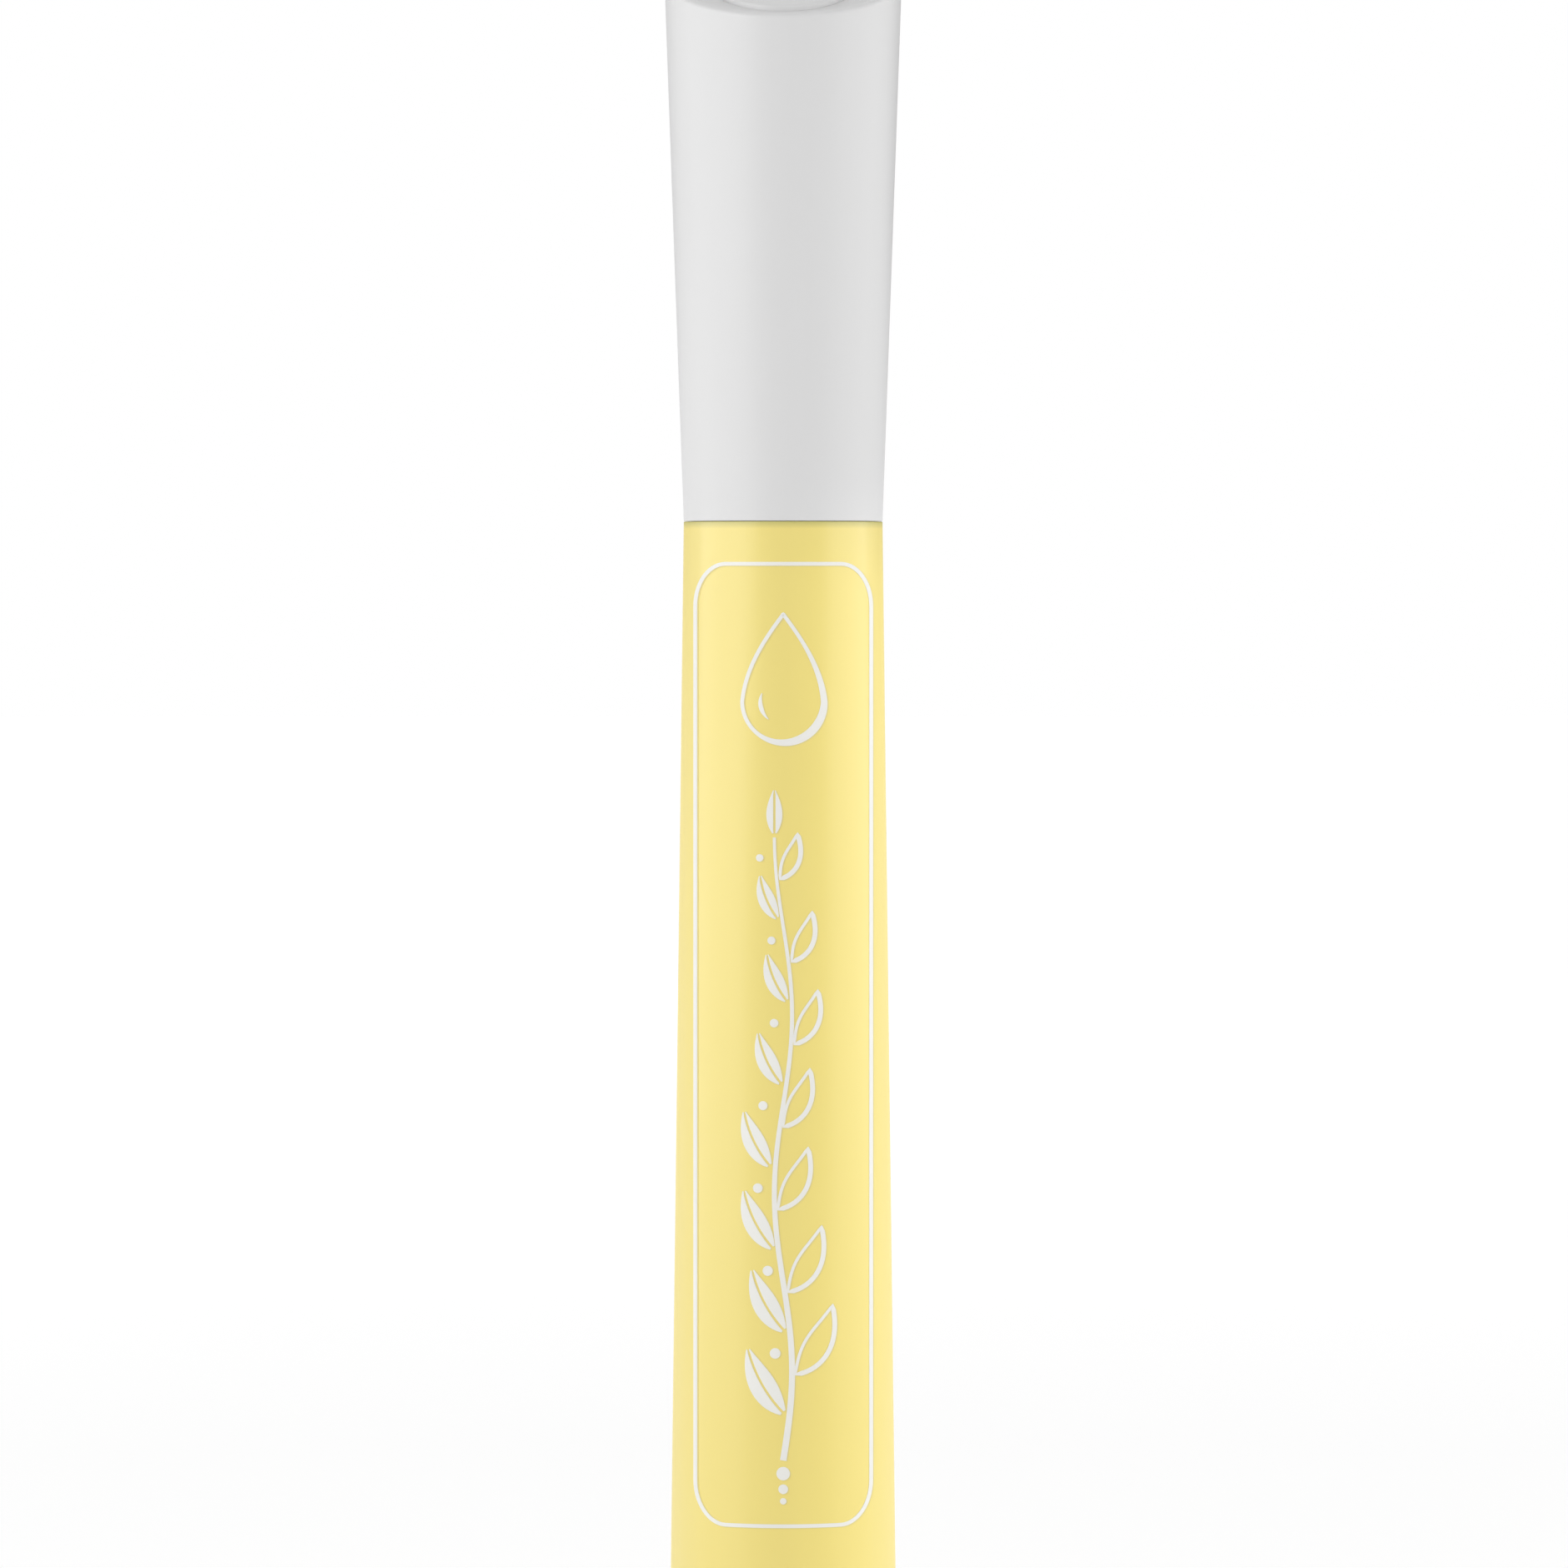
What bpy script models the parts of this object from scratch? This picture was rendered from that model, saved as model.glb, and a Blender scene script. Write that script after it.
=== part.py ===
"""A twist-up cuticle remover pen, standing on its knob.

A push-on cap covers a soft slanted tip. The tapered barrel holds a cartridge of gel. The knob at
the foot turns a keyed screw through a fixed nut, and the screw pushes the piston up the cartridge.

Metres, +Z up. The pen's axis is Z, its foot is at height 0, and its front faces -Y.
"""

import math

import bmesh
import bpy
from mathutils import Vector

MM = 0.001

# Outer form
WAIST_RADIUS = 6.25 * MM  # where the cap meets the barrel
BARREL_TAPER = 0.0126  # radius gained per length, from the waist down to the foot
CAP_TAPER = 0.0353  # radius gained per length, from the waist up to the cap's end
KNOB_LENGTH = 9.5 * MM
BARREL_LENGTH = 66.0 * MM
CAP_END_TILT = math.radians(19.5)  # the end is cut lower at the front
EDGE_ROUNDING = 0.25 * MM
FOOT_ROUNDING = 0.6 * MM

# Fits
SEAT_GAP = 0.3 * MM  # between pieces that rest on each other
RUNNING_GAP = 0.3 * MM  # between pieces that move past each other

# Cap shell and the disc set in its end
CAP_WALL = 0.85 * MM
CAP_ROOF = 1.6 * MM  # under the disc's pocket
CAP_HEADROOM = 5.95 * MM  # on the axis, from the liner up to the roof
CAP_RIM_WIDTH = 0.6 * MM
CAP_RIM_ROUNDING = 0.2 * MM
CAP_RIBS = 6
CAP_RIB_WIDTH = 0.7 * MM
DISH_DEPTH = 0.7 * MM
DISC_RADIUS = 4.2 * MM
DISC_RISE = 0.36 * MM  # above the floor of the dish
DISC_POCKET_DEPTH = 0.6 * MM  # below the floor of the dish
DISC_PEG_RADIUS = 1.2 * MM
DISC_PEG_LENGTH = 0.7 * MM
DISC_ROUNDING = 0.12 * MM

# Liner, the inner cap that closes over the neck and the tip
LINER_WALL = 0.5 * MM
LINER_ROOF = 0.7 * MM
LINER_STEP_RISE = 1.0 * MM  # from the neck's top up to the narrow part
LINER_TIP_CLEARANCE = 0.4 * MM
SEAL_THICKNESS = 0.8 * MM
SEAL_GAP = 0.5 * MM  # from the tip's point to the seal

# Soft tip and its nozzle
TIP_RADIUS = 3.2 * MM
TIP_NOSE = 9.6 * MM  # from the nozzle's end to the tip's point
TIP_SLANT = math.radians(45.0)
TIP_ROUNDING = 0.5 * MM
TIP_FOOT_ROUNDING = 0.3 * MM
TIP_HOLE_RADIUS = 0.5 * MM
NOZZLE_STAND = 2.5 * MM  # bare length between the neck and the tip
NOZZLE_PEG_RADIUS = 1.9 * MM
NOZZLE_PEG_LENGTH = 5.5 * MM
NOZZLE_BORE_RADIUS = 0.9 * MM
NOZZLE_FLANGE = 1.5 * MM
PEG_LEAD_IN = 0.4 * MM

# Neck
NECK_HEIGHT = 5.7 * MM  # above the barrel's shoulder
NECK_WALL = 0.35 * MM  # under its ring's groove
NECK_FLANGE = 1.4 * MM
NECK_RING_SECTION = 0.3 * MM  # radius of the ring's round section
NECK_RING_STAND = 0.15 * MM  # how far the ring stands out of its groove
NECK_RING_DROP = 1.7 * MM  # from the neck's top down to the ring

# Barrel
BARREL_WALL = 1.0 * MM
BARREL_SHOULDER = 2.0 * MM
SPIGOT_HEIGHT = 1.7 * MM  # the step that enters the cap's mouth
SPLINES = 4
SPLINE_WIDTH = 1.0 * MM
SPLINE_DEPTH = 0.4 * MM

# Cartridge, gel and piston
RESERVOIR_WALL = 0.5 * MM
RESERVOIR_ROOF = 1.0 * MM
RESERVOIR_OUTLET_RADIUS = 1.4 * MM
RESERVOIR_FOOT_HEIGHT = 1.5 * MM
GEL_REMAINDER = 4.3 * MM  # length of gel that the piston never reaches
PISTON_HEIGHT = 5.0 * MM
PISTON_RING_SECTION = 0.4 * MM
PISTON_RING_STAND = 0.12 * MM
PISTON_RING_INSET = 1.2 * MM  # from each end of the piston to its ring's middle

# Screw, nut and sleeve
SCREW_RADIUS = 2.1 * MM
THREAD_DEPTH = 0.6 * MM
THREAD_PITCH = 2.4 * MM
THREAD_CREST = 0.6 * MM
THREAD_FLANK = 0.25 * MM
SCREW_HALF_FLAT = 1.45 * MM  # half the width across the screw's two flats
SCREW_FLOOR_GAP = 0.7 * MM  # from the knob's plug to the screw's foot
SCREW_NECK_RADIUS = 0.9 * MM
SCREW_NECK_LENGTH = 1.4 * MM
SCREW_HEAD_RADIUS = 1.7 * MM
SCREW_HEAD_HEIGHT = 1.5 * MM
NUT_HEIGHT = 5.0 * MM
NUT_FOOT_GAP = 0.6 * MM  # from the sleeve's top to the nut
PISTON_FOOT_GAP = 0.5 * MM  # from the nut's top to the piston
KEY_LENGTH = 3.5 * MM
KEY_GRIP = 2.5 * MM  # screw still held in the key when the piston is right up
KEY_LEAD_IN = 0.4 * MM
SLEEVE_WALL = 1.2 * MM
SLEEVE_FLANGE = 1.4 * MM

# Click ring, bush and clip that hold the sleeve in the barrel
RATCHET_TEETH = 12
RATCHET_DEPTH = 0.6 * MM
RATCHET_LEAD_IN = 0.2 * MM
CLICK_RING_HEIGHT = 2.6 * MM
CLICK_RING_WALL = 0.7 * MM
PAWLS = 3
PAWL_THICKNESS = 0.4 * MM
PAWL_LEAN = math.radians(58.0)  # away from the radius
BUSH_LENGTH = 3.9 * MM
CLIP_THICKNESS = 1.0 * MM
CLIP_GROOVE_DEPTH = 0.5 * MM
CLIP_WIDTH = 1.7 * MM
CLIP_SPLIT = 2.4 * MM

# Knob
KNOB_WALL = 1.6 * MM
KNOB_ROOF = 1.5 * MM
KNOB_SPIGOT_HEIGHT = 3.0 * MM
KNOB_RING_SECTION = 0.45 * MM
KNOB_RING_STAND = 0.18 * MM
KNOB_RIBS = 6
KNOB_RIB_WIDTH = 0.8 * MM
KNOB_RIB_DEPTH = 0.9 * MM
PLUG_THICKNESS = 1.5 * MM
PLUG_INSET = 0.3 * MM
PLUG_ROUNDING = 0.3 * MM

# How finely round shapes are drawn
SHELL_SIDES = 48
INNER_SIDES = 32
RING_SIDES = 24
SLEEVE_SIDES = 4 * RATCHET_TEETH
THREAD_SIDES = 20
RING_SECTION_SIDES = 6
ARC_STEPS = 2
WELD_DISTANCE = 1e-7
CUT_MARGIN = 0.5 * MM  # how far a cutting shape reaches past what it cuts
BLOCK_FACES = ((0, 1, 3, 2), (4, 6, 7, 5), (0, 4, 5, 1), (2, 3, 7, 6), (0, 2, 6, 4), (1, 5, 7, 3))
SHARP_ANGLE = math.radians(35.0)

# Heights of the outer pieces
knob_top = KNOB_LENGTH
barrel_foot = knob_top + RUNNING_GAP
barrel_top = barrel_foot + BARREL_LENGTH
cap_mouth = barrel_top + SEAT_GAP

# Heights of the neck and tip
barrel_ceiling = barrel_top - BARREL_SHOULDER
spigot_top = barrel_top + SPIGOT_HEIGHT
neck_flange_top = barrel_ceiling - SEAT_GAP
neck_foot = neck_flange_top - NECK_FLANGE
neck_top = barrel_top + NECK_HEIGHT
neck_ring_height = neck_top - NECK_RING_DROP
nozzle_flange_top = neck_foot - SEAT_GAP
nozzle_foot = nozzle_flange_top - NOZZLE_FLANGE
nozzle_shoulder = neck_top + NOZZLE_STAND
nozzle_top = nozzle_shoulder + NOZZLE_PEG_LENGTH
tip_foot = nozzle_shoulder + SEAT_GAP
tip_top = nozzle_top + TIP_NOSE
liner_mouth = spigot_top + SEAT_GAP
liner_step = neck_top + LINER_STEP_RISE
seal_foot = tip_top + SEAL_GAP
seal_top = seal_foot + SEAL_THICKNESS
liner_ceiling = seal_top + SEAT_GAP
liner_top = liner_ceiling + LINER_ROOF
cap_ceiling = liner_top + CAP_HEADROOM
disc_floor = cap_ceiling + CAP_ROOF
dish_floor = disc_floor + DISC_POCKET_DEPTH
cap_end = dish_floor + DISH_DEPTH

# Heights of the drive, which shares the barrel's length between the sleeve and the piston's travel
reservoir_top = nozzle_foot - SEAT_GAP
reservoir_ceiling = reservoir_top - RESERVOIR_ROOF
gel_top = reservoir_ceiling - SEAT_GAP
screw_foot = PLUG_INSET + PLUG_THICKNESS + SCREW_FLOOR_GAP
drive_stack = KEY_GRIP + NUT_FOOT_GAP + NUT_HEIGHT + PISTON_FOOT_GAP + PISTON_HEIGHT
travel = (gel_top - SEAT_GAP - GEL_REMAINDER - drive_stack - screw_foot) / 2
sleeve_top = screw_foot + travel + KEY_GRIP
nut_foot = sleeve_top + NUT_FOOT_GAP
nut_top = nut_foot + NUT_HEIGHT
reservoir_foot = nut_top + SEAT_GAP
piston_foot = nut_top + PISTON_FOOT_GAP
piston_top = piston_foot + PISTON_HEIGHT
gel_foot = piston_top + SEAT_GAP
knob_ceiling = knob_top - KNOB_ROOF
sleeve_foot = knob_ceiling - SEAT_GAP - SLEEVE_FLANGE
knob_spigot_top = knob_top + KNOB_SPIGOT_HEIGHT
knob_ring_height = (barrel_foot + knob_spigot_top) / 2
bush_foot = knob_spigot_top + RUNNING_GAP
bush_top = bush_foot + BUSH_LENGTH
clip_foot = bush_top + RUNNING_GAP
clip_top = clip_foot + CLIP_THICKNESS
click_foot = clip_top + RUNNING_GAP
click_top = click_foot + CLICK_RING_HEIGHT

CREAM = (0.955, 0.800, 0.290)
WHITE = (0.800, 0.805, 0.800)
IVORY = (0.780, 0.770, 0.720)
CLEAR_GREY = (0.560, 0.580, 0.590)
SOFT_WHITE = (0.840, 0.800, 0.740)
DARK_GREY = (0.090, 0.090, 0.095)
PALE_GEL = (0.880, 0.760, 0.420)


def body_radius(height):
    """Outer radius of the barrel and the knob."""
    return WAIST_RADIUS + BARREL_TAPER * (cap_mouth - height)


def barrel_bore(height):
    """Inner radius of the barrel."""
    return body_radius(height) - BARREL_WALL


def cap_radius(height):
    """Outer radius of the cap."""
    return WAIST_RADIUS + CAP_TAPER * (height - cap_mouth)


def cap_bore(height):
    """Inner radius of the cap's shell."""
    return cap_radius(height) - CAP_WALL


# Radii that several pieces share
reservoir_radius = barrel_bore(reservoir_top) - SEAT_GAP
reservoir_bore = reservoir_radius - RESERVOIR_WALL
piston_ring_radius = reservoir_bore - RUNNING_GAP
piston_radius = piston_ring_radius - PISTON_RING_STAND
liner_mouth_radius = cap_bore(liner_mouth) - SEAT_GAP
liner_mouth_bore = liner_mouth_radius - LINER_WALL
liner_tip_bore = TIP_RADIUS + LINER_TIP_CLEARANCE
liner_tip_radius = liner_tip_bore + LINER_WALL
neck_ring_radius = liner_mouth_bore - RUNNING_GAP
neck_radius = neck_ring_radius - NECK_RING_STAND
neck_groove = neck_ring_radius - 2 * NECK_RING_SECTION - SEAT_GAP
neck_bore = neck_groove - NECK_WALL
nozzle_radius = neck_bore - SEAT_GAP
flange_radius = barrel_bore(barrel_ceiling) - SEAT_GAP
screw_core = SCREW_RADIUS - THREAD_DEPTH
sleeve_bore = SCREW_RADIUS + RUNNING_GAP
sleeve_radius = sleeve_bore + SLEEVE_WALL
ratchet_radius = sleeve_radius + RATCHET_DEPTH
clip_bore = sleeve_radius - CLIP_GROOVE_DEPTH + SEAT_GAP
clip_radius = clip_bore + CLIP_WIDTH
knob_cavity = body_radius(knob_top) - KNOB_WALL
knob_ring_radius = barrel_bore(barrel_foot) - RUNNING_GAP
knob_spigot_radius = knob_ring_radius - KNOB_RING_STAND


def clear_scene():
    for old in list(bpy.data.objects):
        bpy.data.objects.remove(old, do_unlink=True)


def finish(name, colour, roughness):
    """A plain Principled material of one colour (linear values)."""
    material = bpy.data.materials.new(name)
    material.use_nodes = True
    shader = material.node_tree.nodes["Principled BSDF"]
    shader.inputs["Base Color"].default_value = (*colour, 1.0)
    shader.inputs["Roughness"].default_value = roughness
    shader.inputs["Metallic"].default_value = 0.0
    return material


def carrier(name, parent=None):
    """An empty on the pen's axis that the pieces of one moving body hang from."""
    empty = bpy.data.objects.new(name, None)
    bpy.context.scene.collection.objects.link(empty)
    empty.parent = parent
    return empty


def place(name, mesh, base, parent):
    """Puts a mesh in the scene with its origin on the axis at the height base."""
    obj = bpy.data.objects.new(name, mesh)
    bpy.context.scene.collection.objects.link(obj)
    obj.location = (0.0, 0.0, base)
    obj.parent = parent
    return obj


def to_mesh(name, shape):
    """Closes a bmesh into a mesh with its faces outward and its round sides smooth."""
    bmesh.ops.remove_doubles(shape, verts=shape.verts, dist=WELD_DISTANCE)
    bmesh.ops.dissolve_degenerate(shape, dist=WELD_DISTANCE, edges=shape.edges)
    bmesh.ops.recalc_face_normals(shape, faces=shape.faces)
    mesh = bpy.data.meshes.new(name)
    shape.to_mesh(mesh)
    shape.free()
    mesh.shade_smooth()
    mesh.set_sharp_from_angle(angle=SHARP_ANGLE)
    return mesh


def rounded(corners):
    """The outline through (radius, height, rounding) corners, with an arc at each rounding."""
    outline = []
    for index, (radius, height, rounding) in enumerate(corners):
        here = Vector((radius, height))
        if rounding == 0:
            outline.append((radius, height))
            continue
        back = (Vector(corners[index - 1][:2]) - here).normalized()
        on = (Vector(corners[(index + 1) % len(corners)][:2]) - here).normalized()
        half_turn = back.angle(on) / 2
        centre = here + (back + on).normalized() * rounding / math.sin(half_turn)
        first = here + back * rounding / math.tan(half_turn) - centre
        last = here + on * rounding / math.tan(half_turn) - centre
        sweep = math.remainder(
            math.atan2(last.y, last.x) - math.atan2(first.y, first.x), math.tau
        )
        for step in range(ARC_STEPS + 1):
            angle = math.atan2(first.y, first.x) + sweep * step / ARC_STEPS
            outline.append(
                (centre.x + rounding * math.cos(angle), centre.y + rounding * math.sin(angle))
            )
    return outline


def turned(name, corners, material, parent, sides=INNER_SIDES, reshape=None):
    """A solid of revolution about the pen's axis.

    The corners are (radius, height, rounding) in the pen's own heights. The outline closes on
    itself, or along the axis where it starts and ends there. reshape may move each point.
    """
    outline = rounded(corners)
    base = min(height for _, height in outline)
    shape = bmesh.new()
    points = [shape.verts.new((radius, 0.0, height)) for radius, height in outline]
    lines = []
    for start, end in zip(points, points[1:] + points[:1]):
        if max(start.co.x, end.co.x) > WELD_DISTANCE:
            lines.append(shape.edges.new((start, end)))
    bmesh.ops.spin(
        shape,
        geom=points + lines,
        cent=(0.0, 0.0, 0.0),
        axis=(0.0, 0.0, 1.0),
        angle=math.tau,
        steps=sides,
        use_merge=True,
    )
    for point in shape.verts:
        if reshape:
            point.co = reshape(point.co)
        point.co.z -= base
    mesh = to_mesh(name, shape)
    mesh.materials.append(material)
    return place(name, mesh, base, parent)


def round_ring(name, outer_radius, section, height, material, parent):
    """A closed ring of round section, with its middle at the height given."""
    middle = outer_radius - section
    corners = []
    for side in range(RING_SECTION_SIDES):
        angle = math.tau * side / RING_SECTION_SIDES
        corners.append(
            (middle + section * math.cos(angle), height + section * math.sin(angle), 0)
        )
    return turned(name, corners, material, parent, RING_SIDES)


def helper(name, shape):
    """A cutting or joining shape, which isn't a piece of the pen."""
    obj = place(name, to_mesh(name, shape), 0.0, None)
    obj.hide_render = True
    obj.display_type = "WIRE"
    return obj


def combine(target, tool, operation):
    """Joins a tool's shape to a piece, or cuts it away, with an exact Boolean."""
    modifier = target.modifiers.new(tool.name, "BOOLEAN")
    modifier.operation = operation
    modifier.solver = "EXACT"
    modifier.object = tool


def add_block(shape, across, ends):
    """Adds a block with flat sides, from its inner and outer ends at its foot and then at its top."""
    corners = []
    for end in ends:
        corners.append(shape.verts.new(end - across))
        corners.append(shape.verts.new(end + across))
    for face in BLOCK_FACES:
        shape.faces.new([corners[index] for index in face])


def radial_blocks(name, count, width, heights, inner_radii, outer_radii, phase=0.0):
    """Flat-sided blocks set evenly about the axis.

    The heights and the radii are pairs: the first for the blocks' foot, the second for their top.
    """
    shape = bmesh.new()
    for number in range(count):
        angle = phase + math.tau * number / count
        out = Vector((math.cos(angle), math.sin(angle), 0.0))
        across = Vector((-out.y, out.x, 0.0)) * width / 2
        ends = []
        for height, inner, outer in zip(heights, inner_radii, outer_radii):
            rise = Vector((0.0, 0.0, height))
            ends += [out * inner + rise, out * outer + rise]
        add_block(shape, across, ends)
    return helper(name, shape)


def thread_shape(core, crest, clearance, low, high):
    """A threaded bar between two heights, of the screw's lead and phase.

    The thread widens by the clearance on both flanks and fades out over one pitch at both ends.
    """
    tooth = (
        (-clearance, core),
        (THREAD_FLANK - clearance, crest),
        (THREAD_FLANK + THREAD_CREST + clearance, crest),
        (2 * THREAD_FLANK + THREAD_CREST + clearance, core),
    )
    first_turn = math.floor((low - screw_foot) / THREAD_PITCH) - 2
    last_turn = math.ceil((high - screw_foot) / THREAD_PITCH) + 2
    shape = bmesh.new()
    columns = []
    for side in range(THREAD_SIDES):
        angle = math.tau * side / THREAD_SIDES
        column = []
        for turn in range(first_turn, last_turn):
            start = screw_foot + THREAD_PITCH * (turn + side / THREAD_SIDES)
            for offset, radius in tooth:
                height = min(max(start + offset, low), high)
                fade = min(1.0, (height - low) / THREAD_PITCH, (high - height) / THREAD_PITCH)
                reach = core + (radius - core) * fade
                column.append(
                    shape.verts.new((reach * math.cos(angle), reach * math.sin(angle), height))
                )
        columns.append(column)
    for side, column in enumerate(columns):
        # The last column meets the first one a whole turn further up the thread.
        beside = columns[side + 1] if side + 1 < THREAD_SIDES else columns[0][len(tooth):]
        for index in range(min(len(column), len(beside)) - 1):
            shape.faces.new((column[index], beside[index], beside[index + 1], column[index + 1]))
    bmesh.ops.remove_doubles(shape, verts=shape.verts, dist=WELD_DISTANCE)
    bmesh.ops.dissolve_degenerate(shape, dist=WELD_DISTANCE, edges=shape.edges)
    open_edges = [edge for edge in shape.edges if edge.is_boundary]
    bmesh.ops.holes_fill(shape, edges=open_edges, sides=0)
    return shape


def tilted_end(point):
    """Slants the end of the cap, and keeps its side on the cap's cone."""
    if point.z < cap_ceiling - WELD_DISTANCE:
        return point
    height = point.z + point.y * math.tan(CAP_END_TILT)
    spread = cap_radius(height) / cap_radius(point.z)
    return Vector((point.x * spread, point.y * spread, height))


def slanted_tip(point):
    """Slants the face of the soft tip, which stays as high as its length at the back."""
    if point.z < tip_top - TIP_ROUNDING - WELD_DISTANCE:
        return point
    return Vector((point.x, point.y, point.z + (point.y - TIP_RADIUS) * math.tan(TIP_SLANT)))


def build_cap(body, white, ivory, soft):
    rim_radius = cap_radius(cap_end) - CAP_RIM_WIDTH
    pocket_radius = DISC_RADIUS + SEAT_GAP
    peg_radius = DISC_PEG_RADIUS + SEAT_GAP
    peg_floor = disc_floor - DISC_PEG_LENGTH
    shell = turned(
        "cap_shell",
        [
            (cap_radius(cap_mouth), cap_mouth, EDGE_ROUNDING / 2),
            (cap_radius(cap_end), cap_end, CAP_RIM_ROUNDING),
            (rim_radius, cap_end, CAP_RIM_ROUNDING / 2),
            (rim_radius - DISH_DEPTH / 2, dish_floor, 0),
            (pocket_radius, dish_floor, 0),
            (pocket_radius, disc_floor, 0),
            (peg_radius, disc_floor, 0),
            (peg_radius, peg_floor, 0),
            (0.0, peg_floor, 0),
            (0.0, cap_ceiling, 0),
            (cap_bore(cap_ceiling), cap_ceiling, 0),
            (cap_bore(cap_mouth), cap_mouth, 0),
        ],
        white,
        body,
        SHELL_SIDES,
        tilted_end,
    )
    rib_foot = liner_step + LINER_WALL + CAP_RIB_WIDTH
    ribs = radial_blocks(
        "cap_ribs",
        CAP_RIBS,
        CAP_RIB_WIDTH,
        (rib_foot, liner_top),
        (liner_tip_radius + SEAT_GAP,) * 2,
        (cap_radius(rib_foot) - CAP_WALL / 2, cap_radius(liner_top) - CAP_WALL / 2),
    )
    combine(shell, ribs, "UNION")
    turned(
        "cap_end_disc",
        [
            (0.0, peg_floor + SEAT_GAP, 0),
            (DISC_PEG_RADIUS, peg_floor + SEAT_GAP, 0),
            (DISC_PEG_RADIUS, disc_floor + SEAT_GAP, 0),
            (DISC_RADIUS, disc_floor + SEAT_GAP, 0),
            (DISC_RADIUS, dish_floor + DISC_RISE, DISC_ROUNDING),
            (0.0, dish_floor + DISC_RISE, 0),
        ],
        white,
        body,
        SHELL_SIDES,
        tilted_end,
    )
    turned(
        "cap_liner",
        [
            (liner_mouth_radius, liner_mouth, 0),
            (liner_mouth_radius, liner_step + LINER_WALL, 0),
            (liner_tip_radius, liner_step + LINER_WALL, 0),
            (liner_tip_radius, liner_top, LINER_WALL / 2),
            (0.0, liner_top, 0),
            (0.0, liner_ceiling, 0),
            (liner_tip_bore, liner_ceiling, 0),
            (liner_tip_bore, liner_step, 0),
            (liner_mouth_bore, liner_step, 0),
            (liner_mouth_bore, liner_mouth, 0),
        ],
        ivory,
        body,
    )
    turned(
        "tip_seal",
        [
            (0.0, seal_foot, 0),
            (liner_tip_bore - SEAT_GAP, seal_foot, SEAL_THICKNESS / 4),
            (liner_tip_bore - SEAT_GAP, seal_top, SEAL_THICKNESS / 4),
            (0.0, seal_top, 0),
        ],
        soft,
        body,
    )


def build_barrel(body, cream):
    spigot_radius = cap_bore(cap_mouth) - RUNNING_GAP
    spigot_bore = neck_radius + SEAT_GAP
    shell = turned(
        "barrel_shell",
        [
            (body_radius(barrel_foot), barrel_foot, EDGE_ROUNDING / 2),
            (body_radius(barrel_top), barrel_top, EDGE_ROUNDING),
            (spigot_radius, barrel_top, 0),
            (spigot_radius, spigot_top, EDGE_ROUNDING),
            (spigot_bore, spigot_top, 0),
            (spigot_bore, barrel_ceiling, 0),
            (barrel_bore(barrel_ceiling), barrel_ceiling, 0),
            (barrel_bore(barrel_foot), barrel_foot, 0),
        ],
        cream,
        body,
        SHELL_SIDES,
    )
    splines = radial_blocks(
        "barrel_splines",
        SPLINES,
        SPLINE_WIDTH,
        (bush_foot, nut_top),
        (barrel_bore(bush_foot) - SPLINE_DEPTH, barrel_bore(nut_top) - SPLINE_DEPTH),
        (barrel_bore(bush_foot) + BARREL_WALL / 2, barrel_bore(nut_top) + BARREL_WALL / 2),
        math.pi / SPLINES,
    )
    combine(shell, splines, "UNION")


def spline_notches(name, low, high):
    """Slots that clear the barrel's splines, for a piece that slides in over them."""
    floor_low = barrel_bore(low) - SPLINE_DEPTH - SEAT_GAP
    floor_high = barrel_bore(high) - SPLINE_DEPTH - SEAT_GAP
    return radial_blocks(
        name,
        SPLINES,
        SPLINE_WIDTH + 2 * SEAT_GAP,
        (low - CUT_MARGIN, high + CUT_MARGIN),
        (floor_low, floor_high),
        (barrel_bore(low) + BARREL_WALL, barrel_bore(high) + BARREL_WALL),
        math.pi / SPLINES,
    )


def build_neck_and_tip(body, white, ivory, soft):
    groove_half = NECK_RING_SECTION + SEAT_GAP / 2
    turned(
        "neck_collar",
        [
            (neck_bore, neck_foot, 0),
            (flange_radius, neck_foot, 0),
            (flange_radius, neck_flange_top, 0),
            (neck_radius, neck_flange_top, 0),
            (neck_radius, neck_ring_height - groove_half, 0),
            (neck_groove, neck_ring_height - groove_half, 0),
            (neck_groove, neck_ring_height + groove_half, 0),
            (neck_radius, neck_ring_height + groove_half, 0),
            (neck_radius, neck_top, EDGE_ROUNDING),
            (neck_bore, neck_top, 0),
        ],
        white,
        body,
    )
    round_ring("neck_o_ring", neck_ring_radius, NECK_RING_SECTION, neck_ring_height, soft, body)
    turned(
        "nozzle",
        [
            (RESERVOIR_OUTLET_RADIUS, nozzle_foot, 0),
            (flange_radius, nozzle_foot, 0),
            (flange_radius, nozzle_flange_top, 0),
            (nozzle_radius, nozzle_flange_top, 0),
            (nozzle_radius, nozzle_shoulder, EDGE_ROUNDING),
            (NOZZLE_PEG_RADIUS, nozzle_shoulder, 0),
            (NOZZLE_PEG_RADIUS, nozzle_top - PEG_LEAD_IN, 0),
            (NOZZLE_PEG_RADIUS - PEG_LEAD_IN, nozzle_top, 0),
            (NOZZLE_BORE_RADIUS, nozzle_top, 0),
            (NOZZLE_BORE_RADIUS, nozzle_flange_top, 0),
        ],
        ivory,
        body,
    )
    socket_top = nozzle_top + SEAT_GAP
    turned(
        "applicator_tip",
        [
            (NOZZLE_PEG_RADIUS + SEAT_GAP, tip_foot, 0),
            (TIP_RADIUS, tip_foot, TIP_FOOT_ROUNDING),
            (TIP_RADIUS, tip_top, TIP_ROUNDING),
            (TIP_HOLE_RADIUS, tip_top, 0),
            (TIP_HOLE_RADIUS, socket_top, 0),
            (NOZZLE_PEG_RADIUS + SEAT_GAP, socket_top, 0),
        ],
        soft,
        body,
        INNER_SIDES,
        slanted_tip,
    )


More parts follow.
